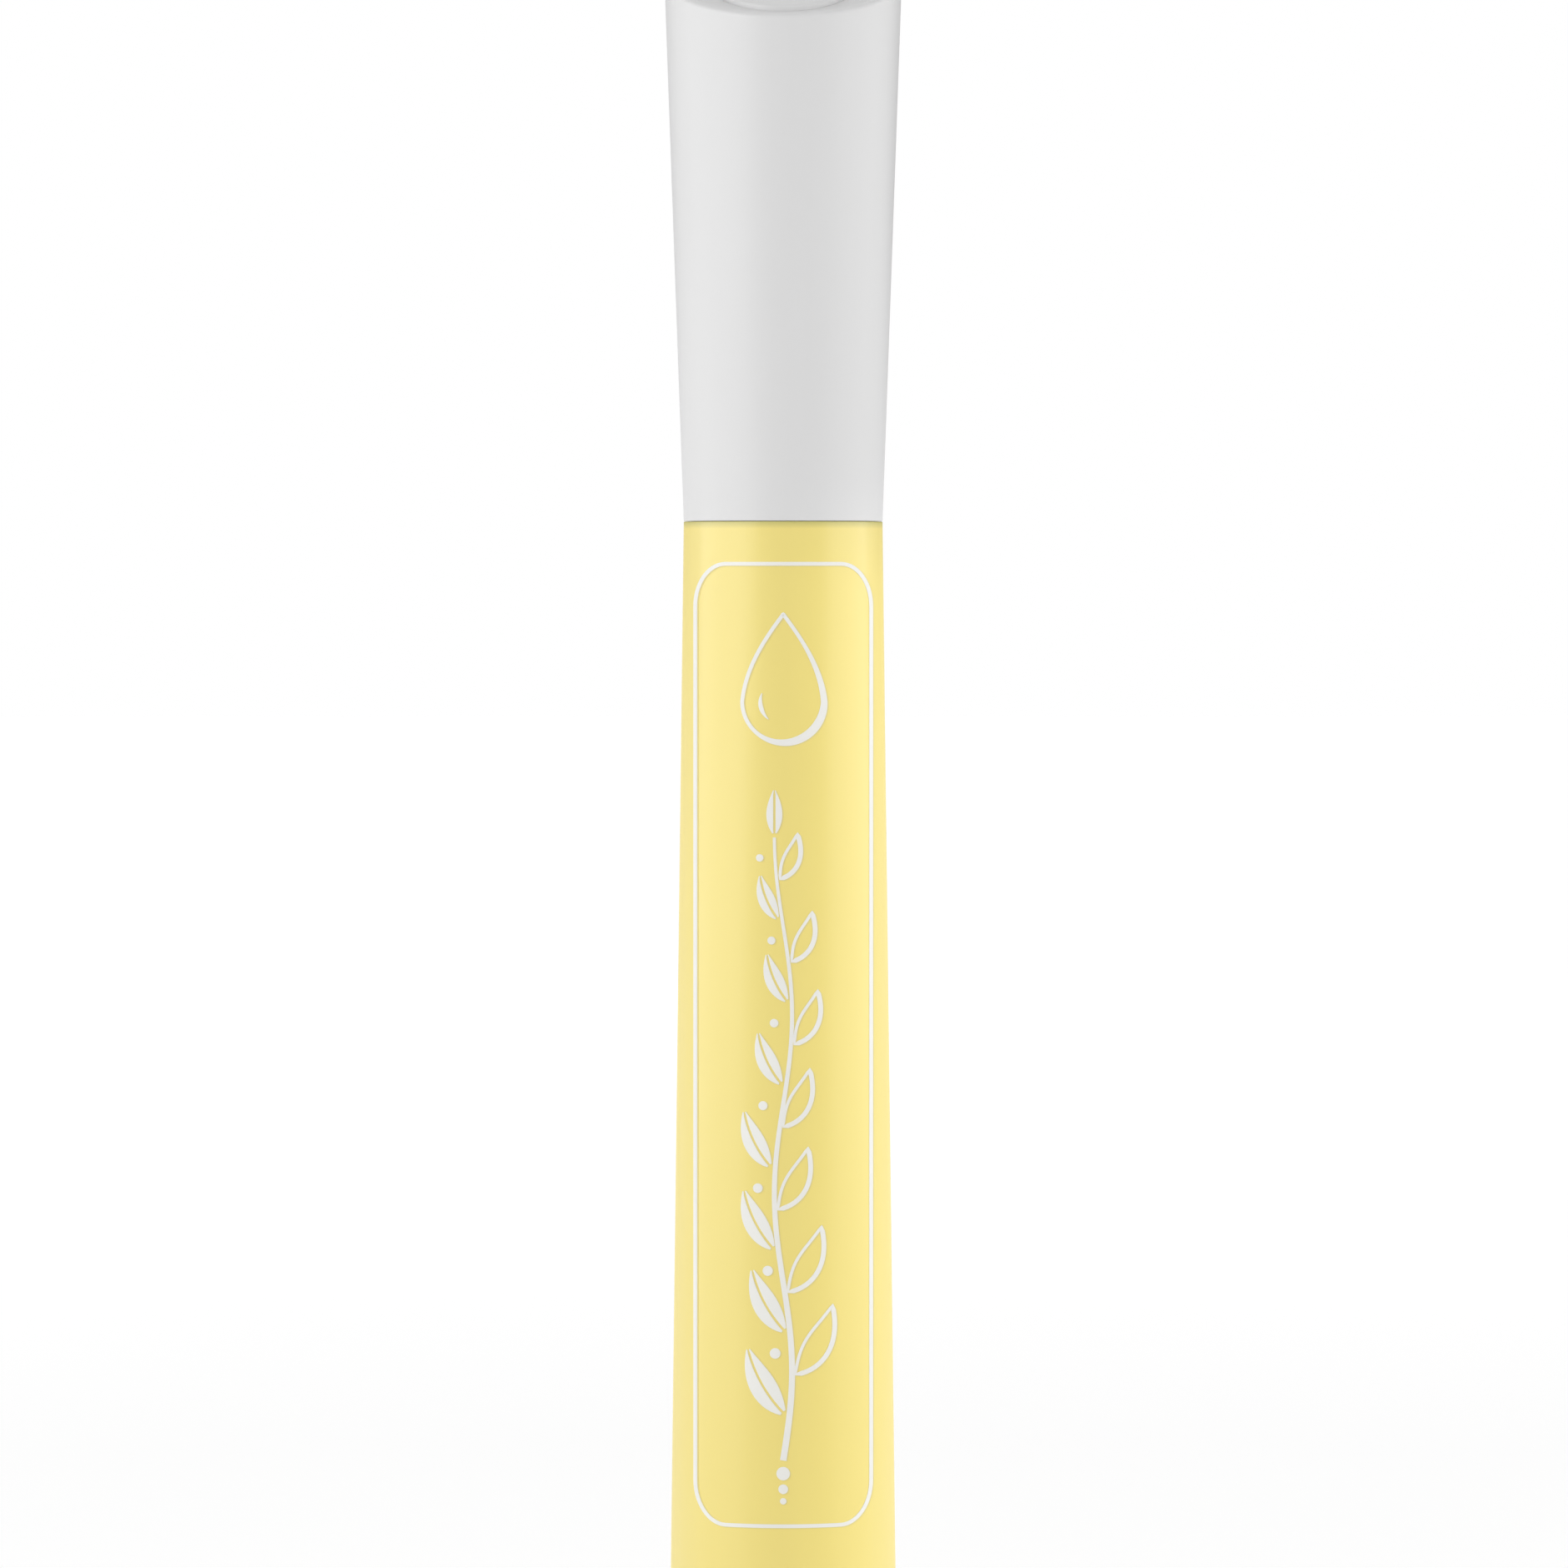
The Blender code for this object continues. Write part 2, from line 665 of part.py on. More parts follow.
def build_cartridge(body, clear, gel):
    foot_radius = barrel_bore(reservoir_foot + RESERVOIR_FOOT_HEIGHT) - SEAT_GAP
    turned(
        "reservoir",
        [
            (reservoir_bore, reservoir_foot, 0),
            (foot_radius, reservoir_foot, 0),
            (foot_radius, reservoir_foot + RESERVOIR_FOOT_HEIGHT, 0),
            (reservoir_radius, reservoir_foot + RESERVOIR_FOOT_HEIGHT, 0),
            (reservoir_radius, reservoir_top, EDGE_ROUNDING),
            (RESERVOIR_OUTLET_RADIUS, reservoir_top, 0),
            (RESERVOIR_OUTLET_RADIUS, reservoir_ceiling, 0),
            (reservoir_bore, reservoir_ceiling, 0),
        ],
        clear,
        body,
    )
    turned(
        "remover_gel",
        [
            (0.0, gel_foot, 0),
            (reservoir_bore - SEAT_GAP, gel_foot, 0),
            (reservoir_bore - SEAT_GAP, gel_top, 0),
            (0.0, gel_top, 0),
        ],
        gel,
        body,
    )


def build_nut(body, ivory):
    nut = turned(
        "drive_nut",
        [
            (0.0, nut_foot, 0),
            (barrel_bore(nut_top) - SEAT_GAP, nut_foot, 0),
            (barrel_bore(nut_top) - SEAT_GAP, nut_top, 0),
            (0.0, nut_top, 0),
        ],
        ivory,
        body,
    )
    reach = THREAD_PITCH + CUT_MARGIN
    thread = helper(
        "nut_thread",
        thread_shape(
            screw_core + RUNNING_GAP,
            SCREW_RADIUS + RUNNING_GAP,
            RUNNING_GAP,
            nut_foot - reach,
            nut_top + reach,
        ),
    )
    combine(nut, thread, "DIFFERENCE")
    combine(nut, spline_notches("nut_notches", nut_foot, nut_top), "DIFFERENCE")


def build_click_ring(body, ivory):
    outer = barrel_bore(click_top) - SEAT_GAP
    ring = turned(
        "click_ring",
        [
            (outer - CLICK_RING_WALL, click_foot, 0),
            (outer, click_foot, 0),
            (outer, click_top, 0),
            (outer - CLICK_RING_WALL, click_top, 0),
        ],
        ivory,
        body,
    )
    combine(ring, pawl_blocks(outer - CLICK_RING_WALL / 2), "UNION")
    combine(ring, spline_notches("click_ring_notches", click_foot, click_top), "DIFFERENCE")


def pawl_blocks(wall_radius):
    """Leaning fingers from inside the click ring's wall to just clear of the ratchet's teeth."""
    shape = bmesh.new()
    tip_radius = ratchet_radius + RUNNING_GAP + PAWL_THICKNESS
    sideways = tip_radius * math.sin(PAWL_LEAN)
    length = math.sqrt(wall_radius**2 - sideways**2) - tip_radius * math.cos(PAWL_LEAN)
    for number in range(PAWLS):
        angle = math.tau * number / PAWLS
        out = Vector((math.cos(angle), math.sin(angle), 0.0))
        finger = Vector((math.cos(angle + PAWL_LEAN), math.sin(angle + PAWL_LEAN), 0.0))
        across = Vector((-finger.y, finger.x, 0.0)) * PAWL_THICKNESS / 2
        ends = []
        for height in (click_foot + RUNNING_GAP, click_top - RUNNING_GAP):
            tip = out * tip_radius + Vector((0.0, 0.0, height))
            ends += [tip, tip + finger * length]
        add_block(shape, across, ends)
    return helper("pawls", shape)


def build_bush(body, ivory):
    outer = barrel_bore(bush_top) - SEAT_GAP
    bush = turned(
        "stem_bush",
        [
            (sleeve_radius + RUNNING_GAP, bush_foot, 0),
            (outer, bush_foot, 0),
            (outer, bush_top, 0),
            (sleeve_radius + RUNNING_GAP, bush_top, 0),
        ],
        ivory,
        body,
    )
    combine(bush, spline_notches("bush_notches", bush_foot, bush_top), "DIFFERENCE")


def build_piston(body, ivory, seal):
    groove_half = PISTON_RING_SECTION + SEAT_GAP / 2
    groove_floor = piston_ring_radius - 2 * PISTON_RING_SECTION - SEAT_GAP
    lower_ring = piston_foot + PISTON_RING_INSET
    upper_ring = piston_top - PISTON_RING_INSET
    neck_hole = SCREW_NECK_RADIUS + RUNNING_GAP
    head_foot = piston_foot + SCREW_NECK_LENGTH
    chamber_foot = head_foot - RUNNING_GAP
    chamber_top = head_foot + SCREW_HEAD_HEIGHT + RUNNING_GAP
    chamber_radius = SCREW_HEAD_RADIUS + RUNNING_GAP
    turned(
        "piston",
        [
            (neck_hole, piston_foot, 0),
            (piston_radius, piston_foot, 0),
            (piston_radius, lower_ring - groove_half, 0),
            (groove_floor, lower_ring - groove_half, 0),
            (groove_floor, lower_ring + groove_half, 0),
            (piston_radius, lower_ring + groove_half, 0),
            (piston_radius, upper_ring - groove_half, 0),
            (groove_floor, upper_ring - groove_half, 0),
            (groove_floor, upper_ring + groove_half, 0),
            (piston_radius, upper_ring + groove_half, 0),
            (piston_radius, piston_top, 0),
            (0.0, piston_top, 0),
            (0.0, chamber_top, 0),
            (chamber_radius, chamber_top, 0),
            (chamber_radius, chamber_foot, 0),
            (neck_hole, chamber_foot, 0),
        ],
        ivory,
        body,
    )
    for name, height in (("piston_ring_lower", lower_ring), ("piston_ring_upper", upper_ring)):
        round_ring(name, piston_ring_radius, PISTON_RING_SECTION, height, seal, body)


def build_screw(body, ivory):
    thread_top = piston_foot - SEAT_GAP
    shape = thread_shape(screw_core, SCREW_RADIUS, 0.0, screw_foot, thread_top)
    for point in shape.verts:
        point.co.x = min(max(point.co.x, -SCREW_HALF_FLAT), SCREW_HALF_FLAT)
        point.co.z -= screw_foot
    mesh = to_mesh("feed_screw", shape)
    mesh.materials.append(ivory)
    screw = place("feed_screw", mesh, screw_foot, body)
    head_foot = piston_foot + SCREW_NECK_LENGTH
    head = turned(
        "screw_head",
        [
            (0.0, thread_top - CUT_MARGIN, 0),
            (SCREW_NECK_RADIUS, thread_top - CUT_MARGIN, 0),
            (SCREW_NECK_RADIUS, head_foot, 0),
            (SCREW_HEAD_RADIUS, head_foot, 0),
            (SCREW_HEAD_RADIUS, head_foot + SCREW_HEAD_HEIGHT, EDGE_ROUNDING),
            (0.0, head_foot + SCREW_HEAD_HEIGHT, 0),
        ],
        ivory,
        body,
        THREAD_SIDES,
    )
    head.hide_render = True
    head.display_type = "WIRE"
    combine(screw, head, "UNION")


def keyed_sleeve(point):
    """Gives the sleeve its ratchet teeth outside and the key's two flats inside its top."""
    reach = math.hypot(point.x, point.y)
    if click_foot < point.z < click_top and reach > sleeve_radius + WELD_DISTANCE:
        around = math.atan2(point.y, point.x) / math.tau * RATCHET_TEETH + WELD_DISTANCE
        grown = sleeve_radius + RATCHET_DEPTH * (around % 1.0)
        return Vector((point.x * grown / reach, point.y * grown / reach, point.z))
    if point.z > sleeve_top - KEY_LENGTH - WELD_DISTANCE and reach < sleeve_bore + WELD_DISTANCE:
        flat = SCREW_HALF_FLAT + RUNNING_GAP
        return Vector((min(max(point.x, -flat), flat), point.y, point.z))
    return point


def build_knob(body, cream, ivory, seal):
    groove_half = KNOB_RING_SECTION + SEAT_GAP / 2
    groove_floor = knob_ring_radius - 2 * KNOB_RING_SECTION - SEAT_GAP
    stem_hole = sleeve_radius + SEAT_GAP
    knob = turned(
        "knob_shell",
        [
            (knob_cavity, 0.0, 0),
            (body_radius(0.0), 0.0, FOOT_ROUNDING),
            (body_radius(knob_top), knob_top, EDGE_ROUNDING / 2),
            (knob_spigot_radius, knob_top, 0),
            (knob_spigot_radius, knob_ring_height - groove_half, 0),
            (groove_floor, knob_ring_height - groove_half, 0),
            (groove_floor, knob_ring_height + groove_half, 0),
            (knob_spigot_radius, knob_ring_height + groove_half, 0),
            (knob_spigot_radius, knob_spigot_top, 0),
            (stem_hole, knob_spigot_top, 0),
            (stem_hole, knob_ceiling, 0),
            (knob_cavity, knob_ceiling, 0),
        ],
        cream,
        body,
        SHELL_SIDES,
    )
    rib_foot = PLUG_INSET + PLUG_THICKNESS + SEAT_GAP
    rib_radii = (knob_cavity - KNOB_RIB_DEPTH,) * 2
    ribs = radial_blocks(
        "knob_ribs",
        KNOB_RIBS,
        KNOB_RIB_WIDTH,
        (rib_foot, knob_ceiling + KNOB_ROOF / 2),
        rib_radii,
        (knob_cavity + KNOB_WALL / 2,) * 2,
    )
    combine(knob, ribs, "UNION")
    sleeve = build_sleeve(body, ivory)
    notches = radial_blocks(
        "sleeve_notches",
        KNOB_RIBS,
        KNOB_RIB_WIDTH + 2 * SEAT_GAP,
        (sleeve_foot - CUT_MARGIN, sleeve_foot + SLEEVE_FLANGE + CUT_MARGIN),
        (knob_cavity - KNOB_RIB_DEPTH - SEAT_GAP,) * 2,
        (knob_cavity + KNOB_WALL,) * 2,
    )
    combine(sleeve, notches, "DIFFERENCE")
    round_ring("knob_o_ring", knob_ring_radius, KNOB_RING_SECTION, knob_ring_height, seal, body)
    plug_radius = knob_cavity - SEAT_GAP
    turned(
        "knob_base_plug",
        [
            (0.0, PLUG_INSET, 0),
            (plug_radius, PLUG_INSET, PLUG_ROUNDING),
            (plug_radius, PLUG_INSET + PLUG_THICKNESS, 0),
            (0.0, PLUG_INSET + PLUG_THICKNESS, 0),
        ],
        cream,
        body,
        SHELL_SIDES,
    )


def build_sleeve(body, ivory):
    flange = knob_cavity - SEAT_GAP
    flange_top = sleeve_foot + SLEEVE_FLANGE
    groove_floor = sleeve_radius - CLIP_GROOVE_DEPTH
    groove_foot = clip_foot - SEAT_GAP / 2
    groove_top = clip_top + SEAT_GAP / 2
    tooth_foot = click_foot + RUNNING_GAP
    tooth_top = click_top - RUNNING_GAP
    key_foot = sleeve_top - KEY_LENGTH
    return turned(
        "drive_sleeve",
        [
            (sleeve_bore, sleeve_foot, 0),
            (flange, sleeve_foot, 0),
            (flange, flange_top, 0),
            (sleeve_radius, flange_top, 0),
            (sleeve_radius, groove_foot, 0),
            (groove_floor, groove_foot, 0),
            (groove_floor, groove_top, 0),
            (sleeve_radius, groove_top, 0),
            (sleeve_radius, tooth_foot - RATCHET_LEAD_IN, 0),
            (ratchet_radius, tooth_foot, 0),
            (ratchet_radius, tooth_top, 0),
            (sleeve_radius, tooth_top + RATCHET_LEAD_IN, 0),
            (sleeve_radius, sleeve_top, 0),
            (sleeve_bore, sleeve_top, 0),
            (sleeve_bore, key_foot, 0),
            (sleeve_bore, key_foot - KEY_LEAD_IN, 0),
        ],
        ivory,
        body,
        SLEEVE_SIDES,
        keyed_sleeve,
    )


def build_clip(body, ivory):
    clip = turned(
        "stem_clip",
        [
            (clip_bore, clip_foot, 0),
            (clip_radius, clip_foot, 0),
            (clip_radius, clip_top, 0),
            (clip_bore, clip_top, 0),
        ],
        ivory,
        body,
    )
    split = radial_blocks(
        "clip_split",
        1,
        CLIP_SPLIT,
        (clip_foot - CUT_MARGIN, clip_top + CUT_MARGIN),
        (0.0, 0.0),
        (clip_radius + CUT_MARGIN,) * 2,
        math.pi / 2,
    )
    combine(clip, split, "DIFFERENCE")


def main():
    clear_scene()
    cream = finish("cream_plastic", CREAM, 0.30)
    white = finish("white_plastic", WHITE, 0.28)
    ivory = finish("natural_plastic", IVORY, 0.45)
    clear = finish("frosted_plastic", CLEAR_GREY, 0.25)
    soft = finish("soft_elastomer", SOFT_WHITE, 0.60)
    seal = finish("seal_rubber", DARK_GREY, 0.65)
    gel = finish("gel", PALE_GEL, 0.15)
    barrel = carrier("barrel_body")
    cap = carrier("cap_slide")
    knob = carrier("knob_axis")
    piston = carrier("piston_slide")
    screw = carrier("screw_slide", knob)
    build_cap(cap, white, ivory, soft)
    build_barrel(barrel, cream)
    build_neck_and_tip(barrel, white, ivory, soft)
    build_cartridge(barrel, clear, gel)
    build_nut(barrel, ivory)
    build_click_ring(barrel, ivory)
    build_bush(barrel, ivory)
    build_piston(piston, ivory, seal)
    build_screw(screw, ivory)
    build_knob(knob, cream, ivory, seal)
    build_clip(knob, ivory)


main()
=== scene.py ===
"""The looks of the cuticle remover pen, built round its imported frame.

Fine turned shells stand for the faceted outer pieces, a foil print lies on the barrel, and every
piece gets a procedural finish. Metres, +Z up, in the row frame: the pen stands on its knob at
height 0 and its front faces -Y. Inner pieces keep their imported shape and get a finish.
"""

import logging
import math
from collections.abc import Callable, Mapping, Sequence
from dataclasses import dataclass, field, replace
from enum import Enum
from functools import reduce
from typing import ClassVar, Union

import bmesh
import bpy
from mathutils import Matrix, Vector


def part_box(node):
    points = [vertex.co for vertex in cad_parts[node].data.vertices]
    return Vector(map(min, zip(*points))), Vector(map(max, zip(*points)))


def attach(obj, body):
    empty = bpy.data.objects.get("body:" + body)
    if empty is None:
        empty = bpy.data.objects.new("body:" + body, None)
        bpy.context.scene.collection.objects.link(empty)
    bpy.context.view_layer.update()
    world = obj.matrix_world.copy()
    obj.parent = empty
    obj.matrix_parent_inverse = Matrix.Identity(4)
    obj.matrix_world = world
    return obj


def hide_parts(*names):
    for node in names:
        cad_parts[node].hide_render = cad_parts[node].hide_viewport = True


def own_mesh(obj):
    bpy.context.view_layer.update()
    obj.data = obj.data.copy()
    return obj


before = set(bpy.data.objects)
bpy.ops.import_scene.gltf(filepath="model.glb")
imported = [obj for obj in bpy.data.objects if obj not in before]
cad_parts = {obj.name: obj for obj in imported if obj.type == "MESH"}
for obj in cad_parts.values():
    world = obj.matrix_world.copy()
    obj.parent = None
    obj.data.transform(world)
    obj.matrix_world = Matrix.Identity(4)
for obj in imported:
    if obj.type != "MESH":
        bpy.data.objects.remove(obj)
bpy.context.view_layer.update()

MM = 0.001
WELD = 1e-7  # points closer than this, in metres, are one
WHITE = (1.0, 1.0, 1.0)
BLACK = (0.0, 0.0, 0.0)
LOG = logging.getLogger("cuticle_pen")

Colour = tuple[float, float, float]
Value = Union["Wire", float, Colour]
Sockets = Mapping[str | int, Value]
Point = tuple[float, float]
Reshape = Callable[[Vector], Vector]


# Shader kit


@dataclass(frozen=True)
class Wire:
    """A shader socket that takes part in Python sums, each of which adds a Math node."""

    graph: "Graph"
    socket: bpy.types.NodeSocket

    def math(self, operation: str, *values: Value) -> "Wire":
        """Adds a Math node that works on the values in their order."""
        return self.graph.wire("ShaderNodeMath", 0, dict(enumerate(values)), operation=operation)

    def __add__(self, other: Value) -> "Wire":
        """This value plus another."""
        return self.math("ADD", self, other)

    def __sub__(self, other: Value) -> "Wire":
        """This value less another."""
        return self.math("SUBTRACT", self, other)

    def __rsub__(self, other: Value) -> "Wire":
        """Another value less this one."""
        return self.math("SUBTRACT", other, self)

    def __mul__(self, other: Value) -> "Wire":
        """This value times another."""
        return self.math("MULTIPLY", self, other)

    __radd__ = __add__
    __rmul__ = __mul__

    def larger(self, other: Value) -> "Wire":
        """The larger of this value and another."""
        return self.math("MAXIMUM", self, other)

    def swing(self, amount: float) -> "Wire":
        """A value from 0 to 1 made to swing about 0 by half an amount either way."""
        return amount * (self - 0.5)


@dataclass(frozen=True)
class Cloud:
    """Cloudy noise: how wide its patches are, its octaves, and how much longer they are along the pen."""

    size: float
    detail: float = 2.0
    along: float = 1.0


@dataclass(frozen=True)
class Graph:
    """The nodes of one material or world, on a tree that already has its shader and output."""

    tree: bpy.types.NodeTree

    def wire(
        self, kind: str, output: str | int, inputs: Sockets | None = None, **settings: object
    ) -> Wire:
        """Adds a node of any type.

        Args:
            kind: The node's type.
            output: The name or number of the output that is wanted.
            inputs: Values or wires for its sockets, by name or number.
            settings: Properties that are set first.

        Returns:
            The wanted output.
        """
        node = self.tree.nodes.new(kind)
        for key, value in settings.items():
            setattr(node, key, value)
        self.feed(node, inputs or {})
        return Wire(self, node.outputs[output])

    def feed(self, node: bpy.types.Node, inputs: Sockets) -> None:
        """Sets or links the sockets of a node.

        Args:
            node: The node to feed.
            inputs: Values or wires for its sockets, by name or number.
        """
        for key, value in inputs.items():
            socket = node.inputs[key]
            if isinstance(value, Wire):
                self.tree.links.new(value.socket, socket)
            elif socket.type == "RGBA":
                socket.default_value = (*value, 1.0)
            else:
                socket.default_value = value

    def vector(self, operation: str, output: int, *values: Value) -> Wire:
        """Adds a Vector Math node that works on the values in their order."""
        return self.wire("ShaderNodeVectorMath", output, dict(enumerate(values)), operation=operation)

    def place(self, stretch: Colour) -> Wire:
        """The point on the piece, in metres, with each axis multiplied by a number."""
        return self.vector("MULTIPLY", 0, self.wire("ShaderNodeTexCoord", "Object"), stretch)

    def height(self) -> Wire:
        """The height on the piece, in metres."""
        return self.wire("ShaderNodeSeparateXYZ", 2, {0: self.wire("ShaderNodeTexCoord", "Object")})

    def off_axis(self) -> Wire:
        """The distance from the pen's axis, in metres."""
        return self.vector("LENGTH", 1, self.place((1.0, 1.0, 0.0)))

    def ramp(self, value: Wire, start: float, end: float) -> Wire:
        """0 up to one value, 1 from another on, and even between them."""
        return self.wire("ShaderNodeMapRange", 0, {0: value, 1: start, 2: end})

    def noise(self, cloud: Cloud) -> Wire:
        """Noise from 0 to 1 on the piece."""
        spot = self.place((1.0 / cloud.size, 1.0 / cloud.size, 1.0 / (cloud.size * cloud.along)))
        return self.wire("ShaderNodeTexNoise", 0, {"Vector": spot, "Scale": 1.0, "Detail": cloud.detail})

    def mix(self, factor: Value, first: Value, second: Value) -> Wire:
        """A colour between two others."""
        return self.wire("ShaderNodeMix", 2, {0: factor, 6: first, 7: second}, data_type="RGBA")

    def bump(self, height: Value, depth: float) -> Wire:
        """A normal for a height from 0 to 1 that stands for a depth in metres."""
        return self.wire("ShaderNodeBump", 0, {"Height": height, "Distance": depth})

    def light_path(self, *rays: str) -> Wire:
        """1 for the kinds of ray named, else 0."""
        return reduce(Wire.larger, (self.wire("ShaderNodeLightPath", ray) for ray in rays))

    def edge_on(self) -> Wire:
        """0 where the surface faces the viewer, and up to 1 where it is seen edge-on."""
        return self.wire("ShaderNodeLayerWeight", "Facing", {"Blend": 0.5})

    def upward(self) -> Wire:
        """How far up the world is seen: 0 at the horizon and below it, 1 overhead."""
        direction = self.wire("ShaderNodeTexCoord", "Generated")
        return self.wire("ShaderNodeSeparateXYZ", 2, {0: direction}).larger(0.0)


# Finishes


class MouldGrain(Enum):
    """What the mould left on a plastic surface: the width and the depth of its texture, in metres."""

    POLISHED = (0.90 * MM, 0.0010 * MM)
    SATIN = (0.28 * MM, 0.0011 * MM)
    ETCHED = (0.16 * MM, 0.0030 * MM)
    FROSTED = (0.12 * MM, 0.0060 * MM)


def new_material(name: str, sockets: Callable[[Graph], Sockets]) -> bpy.types.Material:
    """Makes a Principled material.

    Args:
        name: The material's name.
        sockets: Gives the shader's sockets from the material's graph.

    Returns:
        The material.
    """
    material = bpy.data.materials.new(name)
    material.use_nodes = True
    graph = Graph(material.node_tree)
    graph.feed(material.node_tree.nodes["Principled BSDF"], sockets(graph))
    return material


def shade(colour: Colour, factor: float) -> Colour:
    """The colour made darker or lighter, and kept within 1."""
    return tuple(min(1.0, channel * factor) for channel in colour)


@dataclass(frozen=True)
class MouldedPlastic:
    """Moulded plastic, with slow shade drift, flow lines along the pen and the mould's grain.

    Its coat, where it has one, dulls edge-on, so that the colour stays full there. Below its rim,
    where it has one, the shade of the piece that closes on it is painted into its colour.
    """

    name: str
    colour: Colour
    roughness: float
    grain: MouldGrain
    drift: float = 0.018
    gloss_drift: float = 0.05
    refraction: float = 1.5
    coat: float = 0.0
    coat_roughness: float = 0.25
    coat_full: float = 0.42
    coat_gone: float = 0.78
    transmission: float = 0.0
    scatter: float = 0.0
    scatter_depth: float = 0.4 * MM
    # The rim fields paint shade: below the rim height, over the fade and outside the given radius, the
    # colour darkens to a painted shade for the piece that closes on it.
    rim: float | None = None
    rim_fade: float = 0.46 * MM
    rim_radius: float = 6.1 * MM
    rim_edge: float = 0.1 * MM
    painted_rim_shade: Colour = (0.48, 0.435, 0.10)
    clouds: Cloud = Cloud(9.0 * MM, detail=1.0, along=3.0)
    flow: Cloud = Cloud(0.9 * MM, along=22.0)
    flow_share: float = 0.3
    flow_relief: float = 0.35
    rub: Cloud = Cloud(2.6 * MM, detail=3.0)
    grain_detail: float = 1.0

    def sockets(self, graph: Graph) -> Sockets:
        """The shader's sockets.

        Args:
            graph: The material's graph.

        Returns:
            A value or a wire for each socket by its name.
        """
        clouds = graph.noise(self.clouds)
        flow = graph.noise(self.flow)
        width, depth = self.grain.value
        grain = graph.noise(Cloud(width, self.grain_detail))
        rub = graph.noise(self.rub)
        pale = shade(self.colour, 1.0 + self.drift)
        deep = shade(self.colour, 1.0 - self.drift)
        colour = graph.mix((1.0 - self.flow_share) * clouds + self.flow_share * flow, deep, pale)
        # Painted shade: darker towards the rim, on the outer wall only, where the closing piece would
        # shade it.
        if self.rim is not None:
            painted_shade_near_rim = graph.ramp(graph.height(), self.rim - self.rim_fade, self.rim)
            outside = graph.ramp(graph.off_axis(), self.rim_radius, self.rim_radius + self.rim_edge)
            colour = graph.mix(painted_shade_near_rim * outside, colour, self.painted_rim_shade)
        coat: Value = self.coat
        if coat:
            coat = coat * (1.0 - graph.ramp(graph.edge_on(), self.coat_full, self.coat_gone))
        return {
            "Base Color": colour,
            "Roughness": self.roughness + (0.5 * rub + 0.5 * flow).swing(self.gloss_drift),
            "Normal": graph.bump(grain + self.flow_relief * flow, depth),
            "IOR": self.refraction,
            "Coat Weight": coat,
            "Coat Roughness": self.coat_roughness,
            "Transmission Weight": self.transmission,
            "Subsurface Weight": self.scatter,
            "Subsurface Scale": self.scatter_depth,
        }


@dataclass(frozen=True)
class FoilInk:
    """Hot-stamped pale foil: faintly metallic, with the fine unevenness of a stamped film."""

    name: str
    colour: Colour
    roughness: float
    metallic: float
    film: Cloud = Cloud(0.35 * MM, detail=3.0)
    film_depth: float = 0.0012 * MM
    press: Cloud = Cloud(1.8 * MM)
    darkest: float = 0.97
    palest: float = 1.02
    gloss_drift: float = 0.10
    metal_drift: float = 0.08

    def sockets(self, graph: Graph) -> Sockets:
        """The shader's sockets.

        Args:
            graph: The material's graph.

        Returns:
            A value or a wire for each socket by its name.
        """
        film = graph.noise(self.film)
        press = graph.noise(self.press)
        dark, pale = shade(self.colour, self.darkest), shade(self.colour, self.palest)
        return {
            "Base Color": graph.mix(press, dark, pale),
            "Roughness": self.roughness + film.swing(self.gloss_drift),
            "Metallic": self.metallic + press.swing(self.metal_drift),
            "Normal": graph.bump(film, self.film_depth),
        }


@dataclass(frozen=True)
class Elastomer:
    """Soft rubber-like plastic with a dull skin, faint mottling and fine pores."""

    name: str
    colour: Colour
    roughness: float
    scatter: float = 0.0
    scatter_depth: float = 0.8 * MM
    mottle: Cloud = Cloud(1.4 * MM, detail=3.0)
    mottle_relief: float = 0.5
    pores: Cloud = Cloud(0.09 * MM)
    pore_depth: float = 0.004 * MM
    darkest: float = 0.95
    palest: float = 1.04
    gloss_drift: float = 0.12

    def sockets(self, graph: Graph) -> Sockets:
        """The shader's sockets.

        Args:
            graph: The material's graph.

        Returns:
            A value or a wire for each socket by its name.
        """
        mottle = graph.noise(self.mottle)
        pores = graph.noise(self.pores)
        dark, pale = shade(self.colour, self.darkest), shade(self.colour, self.palest)
        return {
            "Base Color": graph.mix(mottle, dark, pale),
            "Roughness": self.roughness + mottle.swing(self.gloss_drift),
            "Normal": graph.bump(pores + self.mottle_relief * mottle, self.pore_depth),
            "Subsurface Weight": self.scatter,
            "Subsurface Scale": self.scatter_depth,
        }


@dataclass(frozen=True)
class Gel:
    """Clear tinted gel with a few soft swirls of shade."""

    name: str
    colour: Colour
    swirl_colour: Colour
    swirls: Cloud = Cloud(2.2 * MM, detail=3.0, along=2.0)
    ripple: Cloud = Cloud(1.5 * MM, detail=1.0)
    ripple_depth: float = 0.004 * MM
    roughness: float = 0.06
    gloss_drift: float = 0.05
    refraction: float = 1.38
    transmission: float = 0.75

    def sockets(self, graph: Graph) -> Sockets:
        """The shader's sockets.

        Args:
            graph: The material's graph.

        Returns:
            A value or a wire for each socket by its name.
        """
        swirls = graph.noise(self.swirls)
        return {
            "Base Color": graph.mix(swirls, self.colour, self.swirl_colour),
            "Roughness": self.roughness + self.gloss_drift * swirls,
            "Normal": graph.bump(graph.noise(self.ripple), self.ripple_depth),
            "IOR": self.refraction,
            "Transmission Weight": self.transmission,
        }


Finish = Union[MouldedPlastic, FoilInk, Elastomer, Gel]


